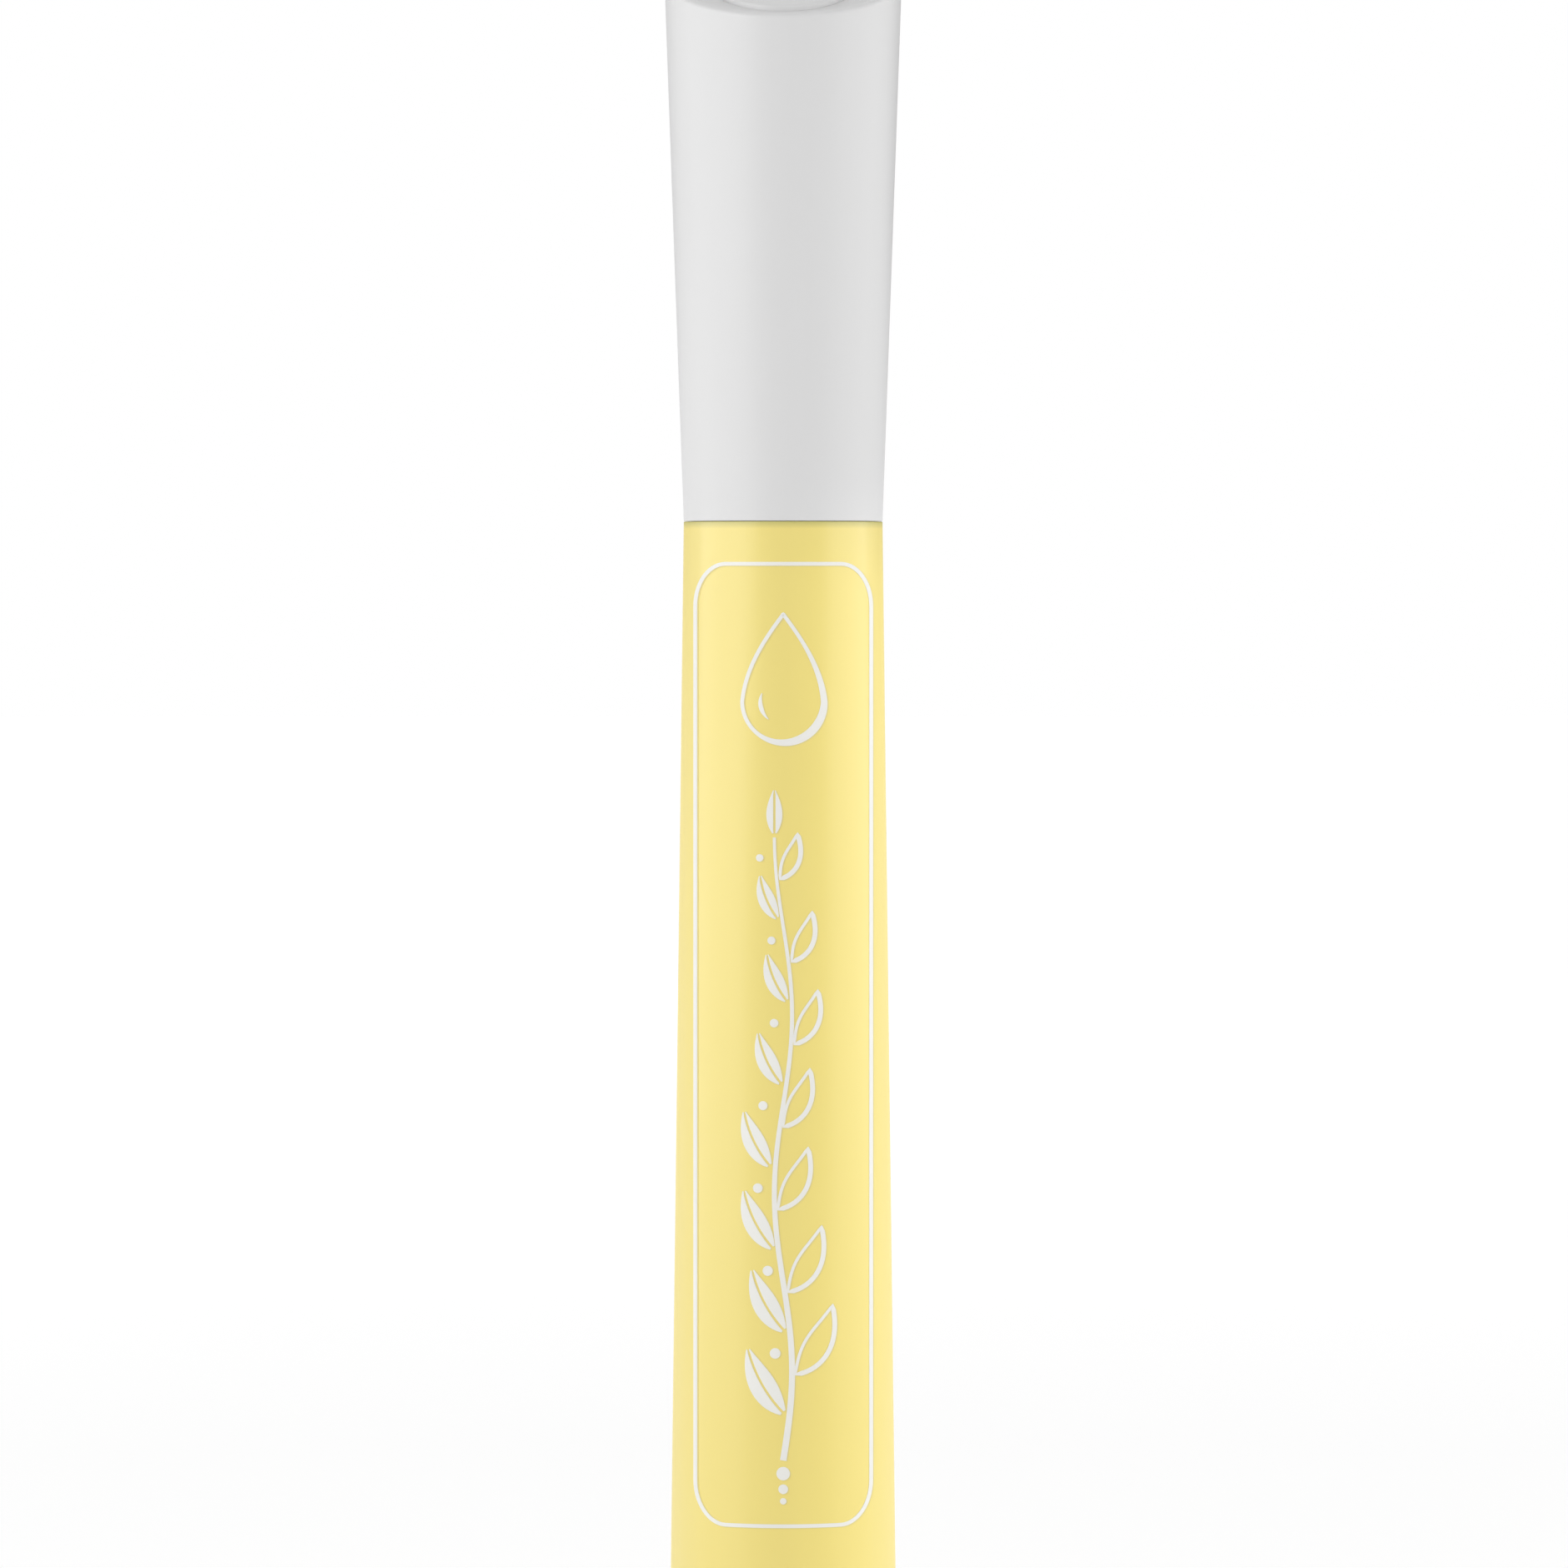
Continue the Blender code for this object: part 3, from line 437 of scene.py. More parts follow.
@dataclass
class Palette:
    """The pen's finishes, each made into a material once."""

    cap_white: Finish = MouldedPlastic("cap_white", (0.685, 0.684, 0.685), 0.38, MouldGrain.SATIN)
    # The barrel's rim height, where the cap's mouth closes, sets where its painted shade begins.
    barrel_cream: Finish = MouldedPlastic(
        "barrel_cream", (0.812, 0.666, 0.160), 0.38, MouldGrain.SATIN, coat=1.0, rim=76.08 * MM
    )
    # Painted shadow: a darker cream laid under each foil stroke, moved to the lower right.
    pressed_edge: Finish = MouldedPlastic("pressed_edge", (0.71, 0.60, 0.22), 0.45, MouldGrain.SATIN)
    neck_white: Finish = MouldedPlastic(
        "neck_white", (0.74, 0.74, 0.71), 0.42, MouldGrain.POLISHED, scatter=0.15
    )
    natural: Finish = MouldedPlastic(
        "natural_plastic", (0.76, 0.75, 0.69), 0.46, MouldGrain.ETCHED, scatter=0.25
    )
    frosted: Finish = MouldedPlastic(
        "frosted_plastic", (0.70, 0.72, 0.73), 0.38, MouldGrain.FROSTED, transmission=0.6
    )
    foil: Finish = FoilInk("silver_white_foil", (0.795, 0.790, 0.757), 0.55, 0.06)
    soft: Finish = Elastomer("soft_elastomer", (0.80, 0.76, 0.70), 0.55, 0.3)
    seal: Finish = Elastomer("seal_rubber", (0.075, 0.075, 0.08), 0.60)
    gel: Finish = Gel("remover_gel", (0.93, 0.84, 0.52), (0.90, 0.76, 0.38))
    made: dict[str, bpy.types.Material] = field(default_factory=dict)

    def dress(self, piece: bpy.types.Object, finish: Finish) -> None:
        """Gives a piece one finish all over.

        Args:
            piece: The mesh object to dress.
            finish: One of the palette's finishes.
        """
        if finish.name not in self.made:
            self.made[finish.name] = new_material(finish.name, finish.sockets)
        piece.data.materials.clear()
        piece.data.materials.append(self.made[finish.name])


# Workshop


@dataclass(frozen=True)
class Corner:
    """A corner of a turned outline: its radius, its height and how much it is rounded."""

    radius: float
    height: float
    rounding: float = 0.0


@dataclass(frozen=True)
class Envelope:
    """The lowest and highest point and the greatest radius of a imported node."""

    foot: float
    top: float
    radius: float

    @classmethod
    def of(cls, node: str) -> "Envelope":
        """Reads a node's envelope from the frame."""
        low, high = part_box(node)
        return cls(low.z, high.z, high.x)


@dataclass(frozen=True)
class Lathe:
    """Turns outlines about the pen's axis into fine closed meshes."""

    sides: int = 224
    arc_steps: int = 7
    long_run: float = 0.5 * MM  # a run longer than this gets a point near each of its ends
    holding: float = 0.06 * MM  # how far from the end those points lie

    def arc(self, corner: Vector, back: Vector, on: Vector, rounding: float) -> list[Vector]:
        """The points of a fillet between two straight runs.

        Args:
            corner: The sharp corner.
            back: The direction to the corner before.
            on: The direction to the corner after.
            rounding: The fillet's radius.

        Returns:
            Points from the first run to the second.
        """
        half_turn = back.angle(on) / 2
        centre = corner + (back + on).normalized() * rounding / math.sin(half_turn)
        first = corner + back * rounding / math.tan(half_turn) - centre
        last = corner + on * rounding / math.tan(half_turn) - centre
        start = math.atan2(first.y, first.x)
        sweep = math.remainder(math.atan2(last.y, last.x) - start, math.tau)
        angles = (start + sweep * step / self.arc_steps for step in range(self.arc_steps + 1))
        return [centre + rounding * Vector((math.cos(a), math.sin(a))) for a in angles]

    def outline(self, corners: Sequence[Corner]) -> list[Vector]:
        """The outline with its fillets, and with extra points that keep long walls straight.

        Args:
            corners: The outline's corners, which close on themselves.

        Returns:
            Points of (radius, height).
        """
        spots = [Vector((corner.radius, corner.height)) for corner in corners]
        bends: list[Vector] = []
        for index, corner in enumerate(corners):
            if corner.rounding == 0:
                bends.append(spots[index])
                continue
            back = (spots[index - 1] - spots[index]).normalized()
            on = (spots[(index + 1) % len(spots)] - spots[index]).normalized()
            bends += self.arc(spots[index], back, on, corner.rounding)
        points: list[Vector] = []
        for start, end in zip(bends, bends[1:] + bends[:1]):
            points.append(start)
            run = end - start
            if run.length > self.long_run and max(start.x, end.x) > WELD:
                step = run.normalized() * self.holding
                points += [start + step, end - step]
        return points

    def turn(self, name: str, *corners: Corner, reshape: Reshape | None = None) -> bpy.types.Object:
        """Makes a solid of revolution.

        Args:
            name: The piece's name.
            corners: Its outline, which closes on itself or along the axis.
            reshape: Moves each point of the turned solid, if given.

        Returns:
            The piece, with its place in its mesh.
        """
        shape = bmesh.new()
        points = [shape.verts.new((spot.x, 0.0, spot.y)) for spot in self.outline(corners)]
        lines = [
            shape.edges.new(pair)
            for pair in zip(points, points[1:] + points[:1])
            if max(pair[0].co.x, pair[1].co.x) > WELD
        ]
        bmesh.ops.spin(
            shape,
            geom=points + lines,
            cent=(0.0, 0.0, 0.0),
            axis=(0.0, 0.0, 1.0),
            angle=math.tau,
            steps=self.sides,
            use_merge=True,
        )
        if reshape:
            for point in shape.verts:
                point.co = reshape(point.co)
        return Bench.piece(name, shape)

    def drum(
        self, name: str, node: Envelope, foot_rounding: float, top_rounding: float
    ) -> bpy.types.Object:
        """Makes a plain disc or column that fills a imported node's envelope.

        Args:
            name: The piece's name.
            node: The envelope.
            foot_rounding: How much its lower edge is rounded.
            top_rounding: How much its upper edge is rounded.

        Returns:
            The piece.
        """
        return self.turn(
            name,
            Corner(0.0, node.foot),
            Corner(node.radius, node.foot, foot_rounding),
            Corner(node.radius, node.top, top_rounding),
            Corner(0.0, node.top),
        )

    def ring(self, name: str, outer: float, section: float, height: float) -> bpy.types.Object:
        """Makes a ring of round section.

        Args:
            name: The piece's name.
            outer: Its outer radius.
            section: The radius of its section.
            height: The height of its middle.

        Returns:
            The ring.
        """
        steps = 4 * self.arc_steps
        angles = (math.tau * step / steps for step in range(steps))
        corners = [
            Corner(outer - section + section * math.cos(a), height + section * math.sin(a))
            for a in angles
        ]
        return self.turn(name, *corners)


def put(name: str, data: bpy.types.ID) -> bpy.types.Object:
    """Adds an object to the scene.

    Args:
        name: The object's name.
        data: The mesh, lamp or camera that it holds.

    Returns:
        The object.
    """
    made = bpy.data.objects.new(name, data)
    bpy.context.scene.collection.objects.link(made)
    return made


class Joining(Enum):
    """How a tool's shape meets a piece."""

    ADD = "UNION"
    CUT = "DIFFERENCE"


class Bench:
    """Turns shapes into pieces, and joins or cuts them."""

    sharp_angle = math.radians(32.0)

    @classmethod
    def smooth(cls, mesh: bpy.types.Mesh) -> None:
        """Shades a mesh smooth, apart from its sharp edges."""
        mesh.shade_smooth()
        mesh.set_sharp_from_angle(angle=cls.sharp_angle)

    @classmethod
    def piece(cls, name: str, shape: bmesh.types.BMesh) -> bpy.types.Object:
        """Closes a shape into a smooth piece.

        Args:
            name: The piece's name.
            shape: The shape, which is used up.

        Returns:
            The piece, linked into the scene.
        """
        bmesh.ops.remove_doubles(shape, verts=shape.verts, dist=WELD)
        bmesh.ops.dissolve_degenerate(shape, dist=WELD, edges=shape.edges)
        bmesh.ops.recalc_face_normals(shape, faces=shape.faces)
        mesh = bpy.data.meshes.new(name)
        shape.to_mesh(mesh)
        shape.free()
        cls.smooth(mesh)
        return put(name, mesh)

    @classmethod
    def combine(cls, target: bpy.types.Object, tool: bpy.types.Object, how: Joining) -> None:
        """Joins a tool to a piece or cuts it away, and removes the tool.

        Args:
            target: The piece that is changed.
            tool: The shape that joins or cuts.
            how: Whether the tool adds or cuts.
        """
        modifier = target.modifiers.new(tool.name, "BOOLEAN")
        modifier.operation = how.value
        modifier.solver = "EXACT"
        modifier.object = tool
        evaluated = target.evaluated_get(bpy.context.evaluated_depsgraph_get())
        mesh = bpy.data.meshes.new_from_object(evaluated)
        target.modifiers.clear()
        target.data = mesh
        bpy.data.objects.remove(tool, do_unlink=True)
        cls.smooth(mesh)

    @classmethod
    def ribs(
        cls,
        name: str,
        count: int,
        width: float,
        foot: Sequence[float],
        top: Sequence[float],
        phase: float = 0.0,
    ) -> bpy.types.Object:
        """Makes flat-sided ribs set evenly about the axis.

        Args:
            name: The tool's name.
            count: How many ribs there are.
            width: How thick each rib is.
            foot: Height, inner radius and outer radius at the ribs' foot.
            top: The same at their top.
            phase: The first rib's angle.

        Returns:
            The ribs as one tool.
        """
        shape = bmesh.new()
        for number in range(count):
            angle = phase + math.tau * number / count
            out = Vector((math.cos(angle), math.sin(angle), 0.0))
            across = Vector((-out.y, out.x, 0.0)) * width / 2
            loops = []
            for height, inner, outer in (foot, top):
                rise = Vector((0.0, 0.0, height))
                near, far = out * inner, out * outer
                ends = (near - across, far - across, far + across, near + across)
                loops.append([shape.verts.new(end + rise) for end in ends])
            for side in range(4):
                after = (side + 1) % 4
                shape.faces.new((loops[0][side], loops[0][after], loops[1][after], loops[1][side]))
            shape.faces.new(loops[0][::-1])
            shape.faces.new(loops[1])
        return cls.piece(name, shape)


# The pen


@dataclass(frozen=True)
class OuterForm:
    """The two cones that the pen's outside follows."""

    waist_radius: float = 6.25 * MM
    barrel_taper: float = 0.0126
    cap_taper: float = 0.0353
    closing: float = 0.11 * MM  # how far the barrel and the knob reach into the gap between them
    waist: float = field(default_factory=lambda: Envelope.of("cap_shell").foot)

    def barrel(self, height: float) -> float:
        """The barrel's and the knob's radius at a height."""
        return self.waist_radius + self.barrel_taper * (self.waist - height)

    def cap(self, height: float) -> float:
        """The cap's radius at a height."""
        return self.waist_radius + self.cap_taper * (height - self.waist)


@dataclass
class SubAssembly:
    """Pieces that are built, dressed and carried together on one body."""

    lathe: Lathe
    form: OuterForm
    palette: Palette
    body: ClassVar[str]

    def carry(
        self, piece: bpy.types.Object, finish: Finish, slot: str | None, *nodes: str
    ) -> bpy.types.Object:
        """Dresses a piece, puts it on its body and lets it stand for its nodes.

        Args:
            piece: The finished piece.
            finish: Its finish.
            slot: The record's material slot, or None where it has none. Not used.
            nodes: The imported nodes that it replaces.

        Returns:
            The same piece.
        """
        self.palette.dress(piece, finish)
        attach(piece, self.body)
        if nodes:
            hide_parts(*nodes)
        LOG.info("%s: %d faces on %s", piece.name, len(piece.data.polygons), self.body)
        return piece

    def build(self) -> None:
        """Builds and dresses the pieces."""
        raise NotImplementedError


@dataclass
class Cap(SubAssembly):
    """The push-on cap: shell, end disc, liner and the seal above the tip."""

    body: ClassVar[str] = "cap"
    end_tilt: float = math.radians(19.5)
    wall: float = 0.85 * MM
    roof: float = 1.44 * MM
    headroom: float = 5.95 * MM
    mouth_rounding: float = 0.055 * MM
    rim_width: float = 0.58 * MM
    rim_rounding: float = 0.21 * MM
    rib_count: int = 6
    rib_width: float = 0.7 * MM
    dish_depth: float = 0.69 * MM
    dish_slope: float = 0.35 * MM
    disc_radius: float = 4.24 * MM
    disc_rise: float = 0.36 * MM
    disc_rounding: float = 0.18 * MM
    disc_gap: float = 0.03 * MM
    pocket_depth: float = 0.6 * MM
    peg_radius: float = 1.2 * MM
    peg_length: float = 0.7 * MM
    seat_gap: float = 0.3 * MM
    liner_wall: float = 0.5 * MM
    liner_roof: float = 0.7 * MM
    liner_step_rise: float = 1.0 * MM
    liner_tip_bore: float = 3.6 * MM
    liner_mouth_rounding: float = 0.12 * MM
    liner_shoulder_rounding: float = 0.25 * MM
    liner_rounding: float = 0.15 * MM
    seal_rounding: float = 0.25  # as a share of the pad's height

    def __post_init__(self) -> None:
        """Sets the heights of the cap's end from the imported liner."""
        self.liner = Envelope.of("cap_liner")
        self.ceiling = self.liner.top + self.headroom
        self.disc_floor = self.ceiling + self.roof
        self.dish_floor = self.disc_floor + self.pocket_depth

    def tilted(self, point: Vector) -> Vector:
        """Slants the cap's end, lower at the front, and keeps its side on the cone.

        Args:
            point: A point of the upright cap.

        Returns:
            Where it lies on the slanted one.
        """
        share = (point.z - self.liner.top) / self.headroom
        share = min(max(share, 0.0), 1.0)
        height = point.z + share * point.y * math.tan(self.end_tilt)
        spread = self.form.cap(height) / self.form.cap(point.z)
        return Vector((point.x * spread, point.y * spread, height))

    def build(self) -> None:
        """Builds and dresses the cap."""
        palette = self.palette
        self.carry(self.shell(), palette.cap_white, "cap_white", "cap_shell")
        self.carry(self.disc(), palette.cap_white, "cap_white", "cap_end_disc")
        self.carry(self.inner_liner(), palette.natural, "natural_plastic", "cap_liner")
        self.carry(self.seal(), palette.soft, "soft_elastomer", "tip_seal")

    def shell(self) -> bpy.types.Object:
        """The outer shell, with its dished end and the ribs that centre the liner.

        Returns:
            The shell.
        """
        form = self.form
        mouth = form.waist
        end = self.dish_floor + self.dish_depth
        rim = form.cap(end) - self.rim_width
        pocket = self.disc_radius + self.disc_gap
        peg = self.peg_radius + self.seat_gap
        peg_floor = self.disc_floor - self.peg_length
        shell = self.lathe.turn(
            "cap_outer_shell",
            Corner(form.cap(mouth), mouth, self.mouth_rounding),
            Corner(form.cap(end), end, self.rim_rounding),
            Corner(rim, end, self.rim_rounding / 2),
            Corner(rim - self.dish_slope, self.dish_floor, self.rim_rounding / 2),
            Corner(pocket, self.dish_floor, self.disc_gap),
            Corner(pocket, self.disc_floor),
            Corner(peg, self.disc_floor),
            Corner(peg, peg_floor),
            Corner(0.0, peg_floor),
            Corner(0.0, self.ceiling),
            Corner(form.cap(self.ceiling) - self.wall, self.ceiling, self.rim_rounding),
            Corner(form.cap(mouth) - self.wall, mouth, self.mouth_rounding),
            reshape=self.tilted,
        )
        neck = Envelope.of("neck_collar")
        rib_foot = neck.top + self.liner_step_rise + self.liner_wall + self.rib_width
        inner = self.liner_tip_bore + self.liner_wall + self.seat_gap
        foot = (rib_foot, inner, form.cap(rib_foot) - self.wall / 2)
        top = (self.liner.top, inner, form.cap(self.liner.top) - self.wall / 2)
        ribs = Bench.ribs("cap_rib_tool", self.rib_count, self.rib_width, foot, top)
        Bench.combine(shell, ribs, Joining.ADD)
        return shell

    def disc(self) -> bpy.types.Object:
        """The raised disc set in the dish, on its peg.

        Returns:
            The disc.
        """
        seat = self.disc_floor + self.seat_gap
        peg_end = seat - self.peg_length
        top = self.dish_floor + self.disc_rise
        return self.lathe.turn(
            "cap_raised_disc",
            Corner(0.0, peg_end),
            Corner(self.peg_radius, peg_end, self.disc_rounding),
            Corner(self.peg_radius, seat),
            Corner(self.disc_radius, seat, self.disc_rounding / 2),
            Corner(self.disc_radius, top, self.disc_rounding),
            Corner(0.0, top),
            reshape=self.tilted,
        )

    def inner_liner(self) -> bpy.types.Object:
        """The liner that closes over the neck and the tip.

        Returns:
            The liner.
        """
        step = Envelope.of("neck_collar").top + self.liner_step_rise
        bore = self.liner.radius - self.liner_wall
        narrow = self.liner_tip_bore + self.liner_wall
        ceiling = self.liner.top - self.liner_roof
        return self.lathe.turn(
            "cap_inner_liner",
            Corner(self.liner.radius, self.liner.foot, self.liner_mouth_rounding),
            Corner(self.liner.radius, step + self.liner_wall, self.liner_shoulder_rounding),
            Corner(narrow, step + self.liner_wall, self.liner_rounding),
            Corner(narrow, self.liner.top, self.liner_wall / 2),
            Corner(0.0, self.liner.top),
            Corner(0.0, ceiling),
            Corner(self.liner_tip_bore, ceiling, self.liner_rounding),
            Corner(self.liner_tip_bore, step, self.liner_rounding),
            Corner(bore, step, self.liner_rounding),
            Corner(bore, self.liner.foot, self.liner_mouth_rounding),
        )

    def seal(self) -> bpy.types.Object:
        """The soft pad in the liner's roof.

        Returns:
            The pad.
        """
        pad = Envelope.of("tip_seal")
        rounding = (pad.top - pad.foot) * self.seal_rounding
        return self.lathe.drum("tip_seal_pad", pad, rounding, rounding)


@dataclass
class Barrel(SubAssembly):
    """The barrel's tube, the neck with its ring, the nozzle and the soft tip."""

    body: ClassVar[str] = "barrel"
    wall: float = 1.0 * MM
    shoulder: float = 2.0 * MM
    spigot_height: float = 1.7 * MM
    spigot_foot_rounding: float = 0.08 * MM
    spigot_rounding: float = 0.26 * MM
    spigot_bore_rounding: float = 0.1 * MM
    foot_rounding: float = 0.14 * MM
    shoulder_rounding: float = 0.06 * MM
    shoulder_rise: float = 0.275 * MM  # how far the shoulder rises into the gap under the cap
    running_gap: float = 0.3 * MM
    seat_gap: float = 0.3 * MM
    cap_wall: float = 0.85 * MM
    spline_count: int = 4
    spline_width: float = 1.0 * MM
    spline_depth: float = 0.4 * MM
    neck_flange: float = 1.4 * MM
    neck_wall: float = 0.35 * MM
    neck_rounding: float = 0.3 * MM
    edge_rounding: float = 0.06 * MM
    ring_section: float = 0.3 * MM
    ring_stand: float = 0.15 * MM
    ring_drop: float = 1.7 * MM
    nozzle_flange: float = 1.5 * MM
    nozzle_stand: float = 2.5 * MM
    stand_rounding: float = 0.28 * MM
    nozzle_peg_radius: float = 1.9 * MM
    nozzle_bore: float = 0.9 * MM
    outlet_radius: float = 1.4 * MM
    peg_lead_in: float = 0.4 * MM
    tip_slant: float = math.radians(45.0)
    tip_foot_rounding: float = 0.3 * MM
    tip_rounding: float = 0.55 * MM
    tip_rounding_steps: int = 8
    tip_hole: float = 0.5 * MM

    def __post_init__(self) -> None:
        """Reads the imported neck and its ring."""
        self.neck = Envelope.of("neck_collar")
        self.ring = Envelope.of("neck_o_ring")
        self.neck_radius = self.ring.radius - self.ring_stand
        self.groove = self.ring.radius - 2 * self.ring_section - self.seat_gap

    def build(self) -> None:
        """Builds and dresses the barrel's tube, the neck, the nozzle and the tip."""
        palette = self.palette
        self.carry(self.tube(), palette.barrel_cream, "barrel_cream", "barrel_shell")
        self.carry(self.collar(), palette.neck_white, "neck_white", "neck_collar")
        height = (self.ring.foot + self.ring.top) / 2
        ring = self.lathe.ring("neck_sealing_ring", self.ring.radius, self.ring_section, height)
        self.carry(ring, palette.soft, "soft_elastomer", "neck_o_ring")
        self.carry(self.nozzle(), palette.natural, "natural_plastic", "nozzle")
        self.carry(self.tip(), palette.soft, "soft_elastomer", "applicator_tip")

    def tube(self) -> bpy.types.Object:
        """The tapered tube, with the spigot that the cap's mouth slides on and its splines.

        Returns:
            The tube.
        """
        form = self.form
        shell = Envelope.of("barrel_shell")
        foot = shell.foot - form.closing
        step = shell.top - self.spigot_height
        top = step + self.shoulder_rise
        ceiling = step - self.shoulder
        spigot = form.waist_radius - self.cap_wall - self.running_gap
        spigot_bore = self.neck_radius + self.seat_gap
        tube = self.lathe.turn(
            "barrel_tube",
            Corner(form.barrel(foot), foot, self.foot_rounding),
            Corner(form.barrel(top), top, self.shoulder_rounding),
            Corner(spigot, top, self.spigot_foot_rounding),
            Corner(spigot, shell.top, self.spigot_rounding),
            Corner(spigot_bore, shell.top, self.spigot_bore_rounding),
            Corner(spigot_bore, ceiling),
            Corner(form.barrel(ceiling) - self.wall, ceiling),
            Corner(form.barrel(foot) - self.wall, foot, self.foot_rounding),
        )
        spline_foot = Envelope.of("stem_bush").foot
        spline_top = Envelope.of("drive_nut").top
        ends = []
        for height in (spline_foot, spline_top):
            bore = form.barrel(height) - self.wall
            ends.append((height, bore - self.spline_depth, bore + self.wall / 2))
        splines = Bench.ribs(
            "spline_tool", self.spline_count, self.spline_width, *ends, math.pi / self.spline_count
        )
        Bench.combine(tube, splines, Joining.ADD)
        return tube

    def collar(self) -> bpy.types.Object:
        """The neck, with its flange under the shoulder and the groove of its ring.

        Returns:
            The neck.
        """
        neck = self.neck
        flange_top = neck.foot + self.neck_flange
        middle = neck.top - self.ring_drop
        half = self.ring_section + self.seat_gap / 2
        bore = self.groove - self.neck_wall
        lip = self.edge_rounding
        return self.lathe.turn(
            "neck_sleeve",
            Corner(bore, neck.foot),
            Corner(neck.radius, neck.foot, lip),
            Corner(neck.radius, flange_top, lip),
            Corner(self.neck_radius, flange_top),
            Corner(self.neck_radius, middle - half, lip),
            Corner(self.groove, middle - half, lip),
            Corner(self.groove, middle + half, lip),
            Corner(self.neck_radius, middle + half, lip),
            Corner(self.neck_radius, neck.top, self.neck_rounding),
            Corner(bore, neck.top, lip),
        )

    def nozzle(self) -> bpy.types.Object:
        """The nozzle, with its flange, its stand and the peg that carries the tip.

        Returns:
            The nozzle.
        """
        node = Envelope.of("nozzle")
        flange_top = node.foot + self.nozzle_flange
        shoulder = self.neck.top + self.nozzle_stand
        stand = self.groove - self.neck_wall - self.seat_gap
        peg = self.nozzle_peg_radius
        return self.lathe.turn(
            "nozzle_body",
            Corner(self.outlet_radius, node.foot),
            Corner(node.radius, node.foot, self.edge_rounding),
            Corner(node.radius, flange_top, self.edge_rounding),
            Corner(stand, flange_top),
            Corner(stand, shoulder, self.stand_rounding),
            Corner(peg, shoulder),
            Corner(peg, node.top - self.peg_lead_in),
            Corner(peg - self.peg_lead_in, node.top),
            Corner(self.nozzle_bore, node.top),
            Corner(self.nozzle_bore, flange_top),
        )

    def tip(self) -> bpy.types.Object:
        """The soft tip: a slanted face with a rounded rim, and the hole that feeds it.

        Returns:
            The tip.
        """
        node = Envelope.of("applicator_tip")
        socket = self.nozzle_peg_radius + self.seat_gap
        socket_top = Envelope.of("nozzle").top + self.seat_gap
        tip = self.lathe.turn(
            "soft_applicator_tip",
            Corner(socket, node.foot),
            Corner(node.radius, node.foot, self.tip_foot_rounding),
            Corner(node.radius, node.top + node.radius),
            Corner(0.0, node.top + node.radius),
            Corner(0.0, socket_top),
            Corner(socket, socket_top),
        )
        self.slant(tip.data, node)
        hole = self.lathe.turn(
            "feed_hole_tool",
            Corner(0.0, socket_top - self.tip_hole),
            Corner(self.tip_hole, socket_top - self.tip_hole),
            Corner(self.tip_hole, node.top + self.tip_hole),
            Corner(0.0, node.top + self.tip_hole),
        )
        Bench.combine(tip, hole, Joining.CUT)
        return tip

    def slant(self, mesh: bpy.types.Mesh, node: Envelope) -> None:
        """Cuts the tip's face at its slant and rounds the rim.

        Args:
            mesh: The upright tip, which is changed.
            node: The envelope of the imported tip.
        """
        tilt = self.tip_slant
        shape = bmesh.new()
        shape.from_mesh(mesh)
        cut = bmesh.ops.bisect_plane(
            shape,
            geom=shape.verts[:] + shape.edges[:] + shape.faces[:],
            dist=WELD,
            plane_co=(0.0, node.radius, node.top),
            plane_no=(0.0, -math.sin(tilt), math.cos(tilt)),
            clear_outer=True,
        )
        rim = [part for part in cut["geom_cut"] if isinstance(part, bmesh.types.BMEdge)]
        bmesh.ops.contextual_create(shape, geom=rim)
        bmesh.ops.bevel(
            shape,
            geom=rim,
            offset=self.tip_rounding,
            segments=self.tip_rounding_steps,
            profile=0.5,
            affect="EDGES",
            clamp_overlap=False,
        )
        bmesh.ops.recalc_face_normals(shape, faces=shape.faces)
        shape.to_mesh(mesh)
        shape.free()
        Bench.smooth(mesh)


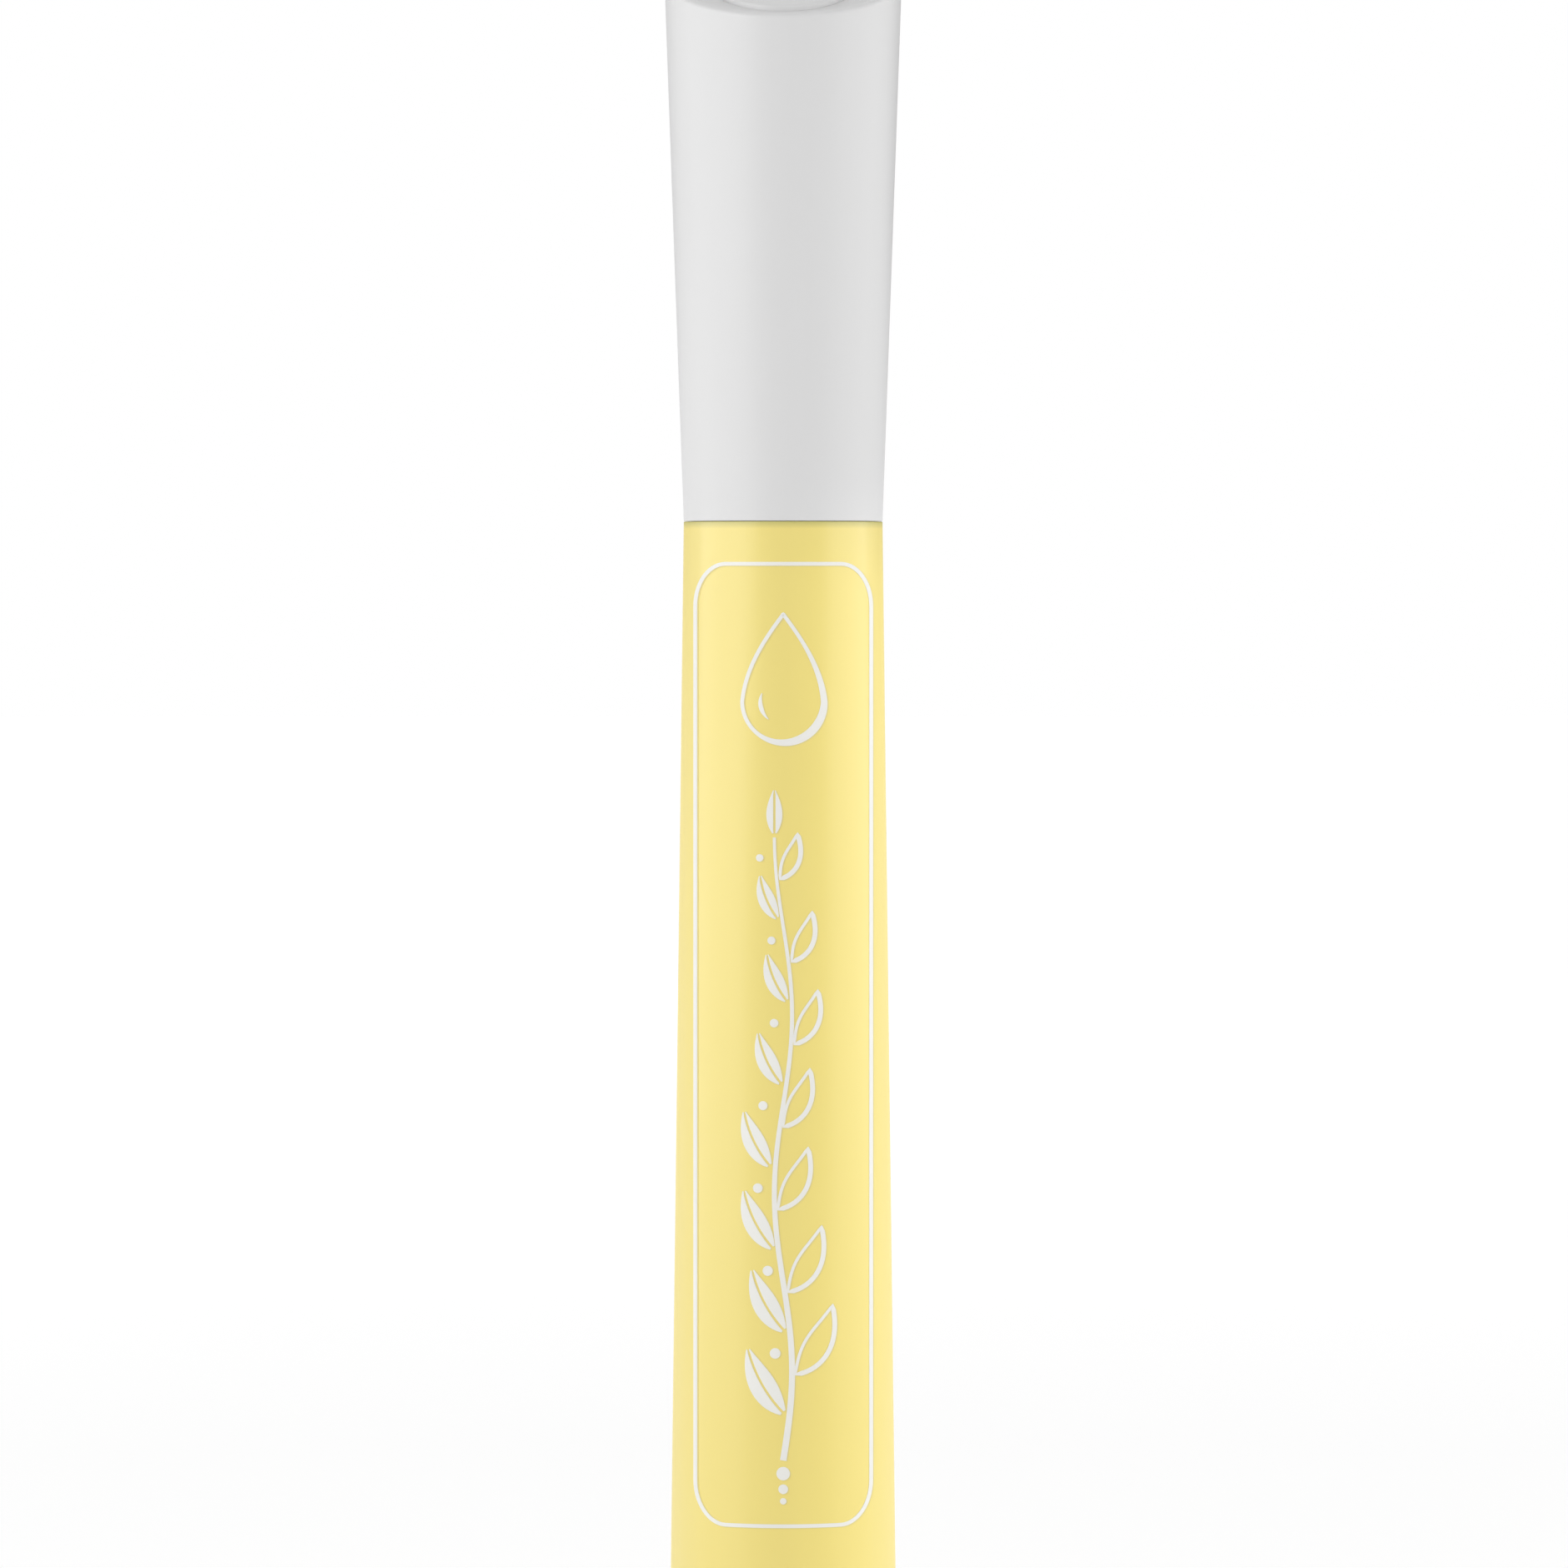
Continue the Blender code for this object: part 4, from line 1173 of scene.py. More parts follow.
@dataclass
class Knob(SubAssembly):
    """The knob at the pen's foot and the plug that closes it."""

    body: ClassVar[str] = "knob"
    length: float = 9.5 * MM
    wall: float = 1.6 * MM
    roof: float = 1.5 * MM
    foot_rounding: float = 0.6 * MM
    edge_rounding: float = 0.14 * MM
    ring_stand: float = 0.18 * MM
    ring_section: float = 0.45 * MM
    seat_gap: float = 0.3 * MM
    rib_count: int = 6
    rib_width: float = 0.8 * MM
    rib_depth: float = 0.9 * MM
    stem_radius: float = 3.6 * MM
    plug_rounding: float = 0.3 * MM

    def build(self) -> None:
        """Builds and dresses the knob's outer pieces."""
        cream = self.palette.barrel_cream
        self.carry(self.shell(), cream, "barrel_cream", "knob_shell")
        self.carry(self.plug(), cream, "barrel_cream", "knob_base_plug")

    def shell(self) -> bpy.types.Object:
        """The knob, with the spigot that enters the barrel and the ribs that turn the sleeve.

        Returns:
            The knob.
        """
        form = self.form
        knob = Envelope.of("knob_shell")
        ring = Envelope.of("knob_o_ring")
        plug = Envelope.of("knob_base_plug")
        top, ceiling = self.length + form.closing, self.length - self.roof
        cavity = form.barrel(self.length) - self.wall
        spigot = ring.radius - self.ring_stand
        groove = ring.radius - 2 * self.ring_section - self.seat_gap
        middle = (ring.foot + ring.top) / 2
        half = self.ring_section + self.seat_gap / 2
        stem = self.stem_radius + self.seat_gap
        shell = self.lathe.turn(
            "knob_body",
            Corner(cavity, knob.foot, self.edge_rounding),
            Corner(form.barrel(0.0), knob.foot, self.foot_rounding),
            Corner(form.barrel(top), top, self.edge_rounding),
            Corner(spigot, top),
            Corner(spigot, middle - half),
            Corner(groove, middle - half),
            Corner(groove, middle + half),
            Corner(spigot, middle + half),
            Corner(spigot, knob.top, self.edge_rounding),
            Corner(stem, knob.top),
            Corner(stem, ceiling),
            Corner(cavity, ceiling),
        )
        reach = (cavity - self.rib_depth, cavity + self.wall / 2)
        foot = (plug.top + self.seat_gap, *reach)
        head = (ceiling + self.roof / 2, *reach)
        ribs = Bench.ribs("knob_rib_tool", self.rib_count, self.rib_width, foot, head)
        Bench.combine(shell, ribs, Joining.ADD)
        return shell

    def plug(self) -> bpy.types.Object:
        """The disc that closes the knob's foot."""
        plug = Envelope.of("knob_base_plug")
        return self.lathe.drum("knob_plug", plug, self.plug_rounding, 0.0)


@dataclass
class Cartridge(SubAssembly):
    """The gel, which shortens as the piston rises, down to what the last stroke leaves."""

    rounding: float = 0.3 * MM
    remainder: float = 4.3 * MM
    body: ClassVar[str] = "barrel"

    def build(self) -> None:
        """Builds the column of gel and gives it a mesh of its own."""
        gel = Envelope.of("remover_gel")
        column = self.lathe.drum("gel_column", gel, self.rounding, self.rounding)
        self.carry(column, self.palette.gel, "gel", "remover_gel")
        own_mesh(column)


@dataclass(frozen=True)
class InnerParts:
    """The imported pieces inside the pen, which keep their shape and get a finish."""

    palette: Palette
    natural: tuple[str, ...] = (
        "drive_nut",
        "click_ring",
        "stem_bush",
        "piston",
        "feed_screw",
        "drive_sleeve",
        "stem_clip",
    )
    rubber: tuple[str, ...] = ("piston_ring_lower", "piston_ring_upper", "knob_o_ring")
    frosted: tuple[str, ...] = ("reservoir",)

    def dress(self) -> None:
        """Gives each inner piece its finish."""
        palette = self.palette
        groups = (
            (self.natural, palette.natural),
            (self.rubber, palette.seal),
            (self.frosted, palette.frosted),
        )
        for nodes, finish in groups:
            for node in nodes:
                palette.dress(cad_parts[node], finish)
                LOG.info("%s: packed shape, %s", node, finish.name)


# The foil print


@dataclass(frozen=True)
class Stroke:
    """A line of foil, given by its middle and its width as the front view shows them."""

    middle: Sequence[Point]
    widths: Sequence[float]
    closed: bool = False
    columns: int = 2

    def across(self, index: int) -> Vector:
        """The direction across the stroke at one of its points.

        Args:
            index: The point's number.

        Returns:
            The unit vector to the stroke's left.
        """
        last = len(self.middle) - 1
        before = index - 1 if index > 0 or self.closed else 0
        after = (index + 1) % len(self.middle) if self.closed else min(index + 1, last)
        along = Vector(self.middle[after]) - Vector(self.middle[before])
        return Vector((-along.y, along.x)).normalized()

    def rows(self) -> list[list[Vector]]:
        """The stroke's points.

        Returns:
            A row across the stroke for each point of its middle.
        """
        made = []
        for index, (spot, width) in enumerate(zip(self.middle, self.widths)):
            across = self.across(index) * width
            shares = (column / self.columns - 0.5 for column in range(self.columns + 1))
            made.append([Vector(spot) + across * share for share in shares])
        return made

    def moved(self, right: float, down: float, wider: float) -> "Stroke":
        """The same stroke, moved in the front view and made wider."""
        middle = [(x + right, z - down) for x, z in self.middle]
        return replace(self, middle=middle, widths=[width + wider for width in self.widths])


@dataclass(frozen=True)
class Leaf:
    """A pointed leaf on a bent middle line."""

    root: Vector
    length: float
    angle: float
    bend: float
    steps: int = 18
    ahead: float = 0.01  # the share of its length over which its direction is taken
    belly: float = 0.85  # under 1, its widest place lies nearer its root

    def spine(self, share: float) -> Vector:
        """A point of its middle line, at a share of its length."""
        angle = self.angle + self.bend * share / 2
        return self.root + self.length * share * Vector((math.cos(angle), math.sin(angle)))

    def half_width(self, share: float, fullness: float) -> float:
        """Half its width at a share of its length."""
        return fullness * self.length * math.sin(math.pi * share**self.belly)

    def side(self, fullness: float, sign: int) -> list[Vector]:
        """The points along one of its edges.

        Args:
            fullness: Its greatest half width as a share of its length.
            sign: 1 for its left edge and -1 for its right one.

        Returns:
            Points from its root to its point.
        """
        points = []
        for step in range(self.steps + 1):
            share = step / self.steps
            ahead = self.spine(share + self.ahead) - self.spine(share)
            across = Vector((-ahead.y, ahead.x)).normalized()
            points.append(self.spine(share) + sign * across * self.half_width(share, fullness))
        return points


class LeafStyle(Enum):
    """Whether a leaf is stamped whole, with a bare vein, or only in outline."""

    FULL = 1
    OUTLINE = 2


@dataclass
class FoilPrint(SubAssembly):
    """The stamped print on the barrel's front: a rounded frame, a leafy sprig and a drop.

    Its sizes are as the front view shows them. The foil stands out of the barrel by its thickness
    and reaches into it by its depth. A print that lies over others stands out further by a layer
    for each.
    """

    body: ClassVar[str] = "barrel"
    frame_half_width: float = 5.49 * MM
    frame_foot: float = 13.5 * MM
    frame_top: float = 73.43 * MM
    corner_width: float = 1.9 * MM
    corner_height: float = 2.65 * MM
    corner_steps: int = 14
    line: float = 0.235 * MM
    thickness: float = 0.020 * MM
    depth: float = 0.012 * MM
    layer: float = 0.004 * MM
    # The foil's painted shadow: a darker copy of each stroke, thinner than the foil, moved right and down
    # and made wider.
    foil_shadow_thickness: float = 0.008 * MM
    foil_shadow_rise: float = 0.25  # what the painted shadow takes of the rise over other prints
    foil_shadow_right: float = 0.055 * MM
    foil_shadow_down: float = 0.03 * MM
    foil_shadow_wider: float = 0.06 * MM
    spacing: float = 0.28 * MM
    upright_spacing: float = 2 * MM
    least_width: float = 0.03 * MM
    stem_foot: float = 17.6 * MM
    stem_top: float = 56.4 * MM
    stem_wave: float = 0.55 * MM
    stem_turns: float = 1.75
    stem_foot_width: float = 0.40 * MM
    stem_top_width: float = 0.18 * MM
    stem_steps: int = 90
    leaf_count: int = 14
    first_leaf: float = 20.4 * MM
    long_leaf: float = 5.0 * MM
    short_leaf: float = 3.0 * MM
    leaf_lift: float = math.radians(44.0)
    leaf_lift_gain: float = math.radians(8.0)
    leaf_bend: float = math.radians(34.0)
    leaf_fullness: float = 0.165
    leaf_aside: float = 0.22 * MM
    leaf_columns: int = 3
    thin_side: float = 0.8
    heavy_side: float = 1.25
    crown_rise: float = 0.1 * MM
    vein: float = 0.15 * MM
    vein_limit: float = 0.4  # the most that half the vein takes of the leaf's half
    drop_foot: float = 62.3 * MM
    drop_height: float = 8.0 * MM
    drop_half_width: float = 2.55 * MM
    drop_heavy_line: float = 0.52 * MM
    drop_heavy_fall: float = 1.5
    drop_point: float = 0.55
    drop_shoulder: float = 0.35
    drop_steps: int = 96
    gleam_reach: float = 0.56
    gleam_degrees: Sequence[int] = range(158, 231, 6)
    berry_radius: float = 0.34 * MM
    berry_loss: float = 0.35
    berry_place: Point = (-1.05 * MM, 1.3 * MM)
    foot_dots: tuple[float, ...] = (0.42 * MM, 0.30 * MM, 0.20 * MM)
    foot_dots_drop: float = 0.4 * MM
    foot_dots_gap: float = 0.25 * MM
    dot_steps: int = 16
    dot_columns: int = 6

    def lay(self, spot: Vector, lift: float) -> Vector:
        """A point of the front view, laid on the barrel.

        Args:
            spot: Its place across and its height.
            lift: How far it stands out of the barrel.

        Returns:
            The point in the row frame.
        """
        radius = self.form.barrel(spot.y)
        depth = math.sqrt(radius**2 - spot.x**2)
        grown = (radius + lift) / radius
        return Vector((spot.x * grown, -depth * grown, spot.y))

    def stamp(self, name: str, strokes: Sequence[Stroke], layer: int = 0) -> None:
        """Stamps strokes of foil, each over its painted shadow: a darker, wider copy moved to the lower
        right.

        Args:
            name: The foil's name.
            strokes: The strokes to stamp.
            layer: How many other prints it lies over.
        """
        rise = layer * self.layer
        # Painted shadow under the foil: the strokes moved to the lower right and widened, in a darker
        # cream.
        shift = (self.foil_shadow_right, self.foil_shadow_down, self.foil_shadow_wider)
        shadow_strokes = [stroke.moved(*shift) for stroke in strokes]
        edge = self.sheet(name + "_edge", shadow_strokes, self.foil_shadow_thickness + rise * self.foil_shadow_rise)
        self.carry(edge, self.palette.pressed_edge, None)
        foil = self.sheet(name, strokes, self.thickness + rise)
        self.carry(foil, self.palette.foil, None)

    def sheet(self, name: str, strokes: Sequence[Stroke], thickness: float) -> bpy.types.Object:
        """Makes one closed thin solid for each stroke, all in one piece.

        Args:
            name: The piece's name.
            strokes: The strokes.
            thickness: How far the solids stand out of the barrel.

        Returns:
            The piece.
        """
        shape = bmesh.new()
        for stroke in strokes:
            rows = stroke.rows()
            sheets = []
            for lift in (thickness, -self.depth):
                sheets.append([[shape.verts.new(self.lay(spot, lift)) for spot in row] for row in rows])
            pairs = list(zip(range(len(rows)), range(1, len(rows))))
            if stroke.closed:
                pairs.append((len(rows) - 1, 0))
            for here, after in pairs:
                for sheet in sheets:
                    self.bridge(shape, sheet[here], sheet[after])
                for edge in (0, -1):
                    corners = [sheets[0][here][edge], sheets[0][after][edge]]
                    shape.faces.new(corners + [sheets[1][after][edge], sheets[1][here][edge]])
            if not stroke.closed:
                for end in (0, -1):
                    self.bridge(shape, sheets[0][end], sheets[1][end])
        return Bench.piece(name, shape)

    def bridge(
        self, shape: bmesh.types.BMesh, first: list[bmesh.types.BMVert], second: list[bmesh.types.BMVert]
    ) -> None:
        """Fills the strip between two rows of points."""
        for column in range(len(first) - 1):
            shape.faces.new((first[column], first[column + 1], second[column + 1], second[column]))

    def build(self) -> None:
        """Builds and dresses the print."""
        self.stamp("foil_frame", [self.frame_line()])
        self.stamp("foil_drop", self.drop())
        self.stamp("foil_stem", [self.stem()])
        self.stamp("foil_leaves", self.leaves(), 1)
        self.stamp("foil_dots", self.dots(), 2)

    def frame_line(self) -> Stroke:
        """The rounded rectangular frame.

        Returns:
            Its line as a closed stroke.
        """
        inner = self.frame_half_width - self.corner_width
        low = self.frame_foot + self.corner_height
        high = self.frame_top - self.corner_height
        points: list[Point] = []
        for turn, (side, middle) in enumerate(((1, high), (-1, high), (-1, low), (1, low))):
            for step in range(self.corner_steps + 1):
                angle = math.pi / 2 * (turn + step / self.corner_steps)
                x = side * (inner + self.corner_width * abs(math.cos(angle)))
                points.append((x, middle + self.corner_height * math.sin(angle)))
        fine: list[Point] = []
        for start, end in zip(points, points[1:] + points[:1]):
            run = Vector(end) - Vector(start)
            spacing = self.spacing if abs(run.x) > abs(run.y) else self.upright_spacing
            parts = max(1, math.ceil(run.length / spacing))
            fine += [tuple(Vector(start) + run * part / parts) for part in range(parts)]
        return Stroke(fine, [self.line] * len(fine), closed=True)

    def drop(self) -> list[Stroke]:
        """A falling drop in outline, heavier at its lower right, with a small gleam inside.

        Returns:
            The outline and the gleam.
        """
        belly = self.drop_foot + self.drop_half_width
        rise = self.drop_height - self.drop_half_width
        points, widths = [], []
        for step in range(self.drop_steps):
            angle = math.tau * step / self.drop_steps - math.pi / 2
            x = self.drop_half_width * math.cos(angle)
            z = self.drop_half_width * math.sin(angle)
            if z > 0:
                share = math.sin(angle)
                x *= (1 - share) ** self.drop_point * (1 + share) ** self.drop_shoulder
                z = rise * share
            points.append((x, belly + z))
            heavy = max(0.0, math.cos(angle + math.pi / 4)) ** self.drop_heavy_fall
            widths.append(self.line + (self.drop_heavy_line - self.line) * heavy)
        reach = self.gleam_reach * self.drop_half_width
        angles = [math.radians(angle) for angle in self.gleam_degrees]
        gleam = [(reach * math.cos(angle), belly + reach * math.sin(angle)) for angle in angles]
        shares = (step / (len(gleam) - 1) for step in range(len(gleam)))
        swell = [self.least_width + self.line * math.sin(math.pi * share) for share in shares]
        return [Stroke(points, widths, closed=True), Stroke(gleam, swell)]

    def stem_at(self, height: float) -> Vector:
        """The point of the stem at a height.

        Args:
            height: The height.

        Returns:
            Its place across, and the height.
        """
        share = (height - self.stem_foot) / (self.stem_top - self.stem_foot)
        return Vector((self.stem_wave * math.sin(math.tau * self.stem_turns * share), height))

    def stem(self) -> Stroke:
        """The waving stem, which thins upwards.

        Returns:
            Its stroke.
        """
        points, widths = [], []
        for step in range(self.stem_steps + 1):
            share = step / self.stem_steps
            height = self.stem_foot + (self.stem_top - self.stem_foot) * share
            points.append(tuple(self.stem_at(height)))
            widths.append(self.stem_foot_width + (self.stem_top_width - self.stem_foot_width) * share)
        return Stroke(points, widths)

    def leaf_root(self, number: int) -> Vector:
        """The point of the stem that a leaf grows from."""
        rise = (self.stem_top - self.first_leaf) / self.leaf_count
        return self.stem_at(self.first_leaf + rise * number)

    def leaf_strokes(self, leaf: Leaf, style: LeafStyle) -> list[Stroke]:
        """The strokes of one leaf.

        Args:
            leaf: The leaf.
            style: How it is stamped.

        Returns:
            Its strokes.
        """
        left, right = leaf.side(self.leaf_fullness, 1), leaf.side(self.leaf_fullness, -1)
        if style is LeafStyle.OUTLINE:
            loop = left + right[-2:0:-1]
            widths = [self.thin_side * self.line] * len(left)
            widths += [self.heavy_side * self.line] * (len(loop) - len(left))
            return [Stroke([tuple(spot) for spot in loop], widths, closed=True)]
        spine = [leaf.spine(step / leaf.steps) for step in range(leaf.steps + 1)]
        halves = []
        for edge in (left, right):
            middle, widths = [], []
            for core, outer in zip(spine, edge):
                reach = outer - core
                bare = min(self.vein / 2, self.vein_limit * reach.length)
                inner = core + (reach.normalized() * bare if reach.length > 0 else reach)
                middle.append(tuple((inner + outer) / 2))
                widths.append(max((outer - inner).length, self.least_width))
            halves.append(Stroke(middle[1:-1], widths[1:-1], columns=self.leaf_columns))
        return halves

    def leaves(self) -> list[Stroke]:
        """Leaves by turns on the left, stamped whole, and on the right, in outline, and a top leaf.

        Returns:
            Their strokes.
        """
        strokes: list[Stroke] = []
        for number in range(self.leaf_count):
            share = number / (self.leaf_count - 1)
            length = self.long_leaf + (self.short_leaf - self.long_leaf) * share
            on_left = number % 2 == 0
            side = -1 if on_left else 1
            lift = self.leaf_lift + self.leaf_lift_gain * share
            angle = math.pi - lift if on_left else lift
            root = self.leaf_root(number) + Vector((side * self.leaf_aside, 0.0))
            leaf = Leaf(root, length, angle, side * self.leaf_bend)
            style = LeafStyle.FULL if on_left else LeafStyle.OUTLINE
            strokes += self.leaf_strokes(leaf, style)
        top = self.stem_at(self.stem_top) + Vector((0.0, self.crown_rise))
        crown = Leaf(top, self.short_leaf, math.pi / 2, 0.0)
        return strokes + self.leaf_strokes(crown, LeafStyle.FULL)

    def dot(self, centre: Vector, radius: float) -> Stroke:
        """A round dot of foil.

        Args:
            centre: Its middle.
            radius: Its radius.

        Returns:
            The dot as a short stroke.
        """
        points, widths = [], []
        for step in range(self.dot_steps + 1):
            angle = math.pi * (step / self.dot_steps - 0.5)
            points.append((centre.x, centre.y + radius * math.sin(angle)))
            widths.append(max(2 * radius * math.cos(angle), self.least_width))
        return Stroke(points, widths, columns=self.dot_columns)

    def dots(self) -> list[Stroke]:
        """Three dots under the stem that grow smaller, and a berry across from each right leaf.

        Returns:
            Their strokes.
        """
        strokes = []
        height = self.stem_foot - self.foot_dots_drop
        for radius in self.foot_dots:
            height -= radius
            strokes.append(self.dot(Vector((0.0, height)), radius))
            height -= radius + self.foot_dots_gap
        for number in range(1, self.leaf_count, 2):
            share = number / self.leaf_count
            radius = self.berry_radius * (1 - self.berry_loss * share)
            strokes.append(self.dot(self.leaf_root(number) + Vector(self.berry_place), radius))
        return strokes


# Studio


def around(azimuth: float, distance: float, height: float) -> Vector:
    """A point round the pen's axis, its azimuth in degrees from the camera to the viewer's right."""
    turn = math.radians(azimuth)
    return Vector((math.sin(turn) * distance, -math.cos(turn) * distance, height))


def hang(name: str, lamp: bpy.types.Light, place: Vector, mirrored: bool) -> None:
    """Adds a lamp that shines level at the pen's axis and that the camera doesn't see.

    Args:
        name: The lamp's name.
        lamp: The lamp.
        place: Where it hangs.
        mirrored: Whether the pen's gloss shows it.
    """
    holder = put(name, lamp)
    holder.location = place
    holder.rotation_euler = Vector((-place.x, -place.y, 0.0)).to_track_quat("-Z", "Y").to_euler()
    holder.visible_camera = False
    holder.visible_glossy = mirrored


def flat_sheet(
    name: str, corners: Sequence[tuple[float, float, float]], sockets: Callable[[Graph], Sockets]
) -> bpy.types.Object:
    """Adds a flat sheet with a material of its own.

    Args:
        name: The name of the sheet and its material.
        corners: Its four corners, in order.
        sockets: Gives the shader's sockets from the material's graph.

    Returns:
        The sheet.
    """
    mesh = bpy.data.meshes.new(name)
    mesh.from_pydata(corners, [], [(0, 1, 2, 3)])
    mesh.materials.append(new_material(name, sockets))
    return put(name, mesh)


@dataclass(frozen=True)
class SoftBox:
    """A rectangular lamp that faces the pen."""

    name: str
    azimuth: float
    radiance: float
    distance: float = 0.60
    width: float = 0.70
    height: float = 0.40
    middle: float = 0.21
    mirrored: bool = True

    def set_up(self) -> None:
        """Adds the lamp to the scene."""
        lamp = bpy.data.lights.new(self.name, "AREA")
        lamp.shape = "RECTANGLE"
        lamp.size = self.width
        lamp.size_y = self.height
        lamp.energy = self.radiance * math.pi * self.width * self.height
        hang(self.name, lamp, around(self.azimuth, self.distance, self.middle), self.mirrored)


@dataclass(frozen=True)
class Snoot:
    """A lamp with a narrow beam across the pen, between two heights, that the gloss doesn't show.

    Its level is how bright it makes a white surface that faces it.
    """

    name: str
    azimuth: float
    level: float
    low: float
    high: float
    distance: float = 0.60
    softness: float = 0.08
    size: float = 0.004

    def set_up(self) -> None:
        """Adds the lamp to the scene."""
        lamp = bpy.data.lights.new(self.name, "SPOT")
        lamp.energy = self.level * math.pi * 4 * math.pi * self.distance**2
        lamp.spot_size = 2 * math.atan((self.high - self.low) / 2 / self.distance)
        lamp.spot_blend = self.softness
        lamp.shadow_soft_size = self.size
        hang(self.name, lamp, around(self.azimuth, self.distance, (self.low + self.high) / 2), False)


@dataclass(frozen=True)
class GlossCard:
    """An upright card that only the pen's gloss shows, above the barrel's height.

    A grey one gives the cap's edge a darker line, and a bright one a soft gleam.
    """

    name: str
    azimuth: float
    level: float
    distance: float = 0.45
    width: float = 0.32
    foot: float = 0.082
    top: float = 0.60

    def sockets(self, graph: Graph) -> Sockets:
        """The card's shader sockets: an even glow that needs no light.

        Args:
            graph: The material's graph, to which the card adds nothing.

        Returns:
            A value for each socket by its name.
        """
        return {
            "Base Color": BLACK,
            "Specular IOR Level": 0.0,
            "Emission Color": WHITE,
            "Emission Strength": self.level,
        }

    def set_up(self) -> None:
        """Adds the card to the scene."""
        away = around(self.azimuth, 1.0, 0.0)
        across = Vector((-away.y, away.x, 0.0)) * self.width / 2
        left, right = away * self.distance - across, away * self.distance + across
        ends = ((left, self.foot), (right, self.foot), (right, self.top), (left, self.top))
        card = flat_sheet(self.name, [(end.x, end.y, height) for end, height in ends], self.sockets)
        for rays in ("camera", "diffuse", "transmission", "shadow", "volume_scatter"):
            setattr(card, "visible_" + rays, False)


@dataclass(frozen=True)
class PhotoCamera:
    """The photograph's viewpoint, from rows and columns of its square frame."""

    frame_side: int = 1880
    metres_per_pixel: float = 0.05245 * MM
    distance: float = 606.0 * MM
    seam_row: float = 624.5
    eye_row: float = 675.0
    axis_column: float = 939.0
    sensor: float = 36.0
    near_clip: float = 0.01
    far_clip: float = 50.0

    def set_up(self, form: OuterForm) -> None:
        """Adds the camera to the scene.

        Args:
            form: The pen's outer form, whose waist gives the seam.
        """
        centre = self.frame_side / 2
        front_scale = self.metres_per_pixel * (1 - form.waist_radius / self.distance)
        eye_height = form.waist - (self.eye_row - self.seam_row) * front_scale
        aside = (centre - self.axis_column) * self.metres_per_pixel
        fall = math.atan((centre - self.eye_row) * self.metres_per_pixel / self.distance)
        data = bpy.data.cameras.new("photo_camera")
        data.sensor_width = self.sensor
        data.lens = self.sensor * self.distance / (self.frame_side * self.metres_per_pixel)
        data.clip_start = self.near_clip
        data.clip_end = self.far_clip
        camera = put("photo_camera", data)
        camera.location = (aside, -self.distance, eye_height)
        camera.rotation_euler = (math.pi / 2 - fall, 0.0, 0.0)
        bpy.context.scene.camera = camera


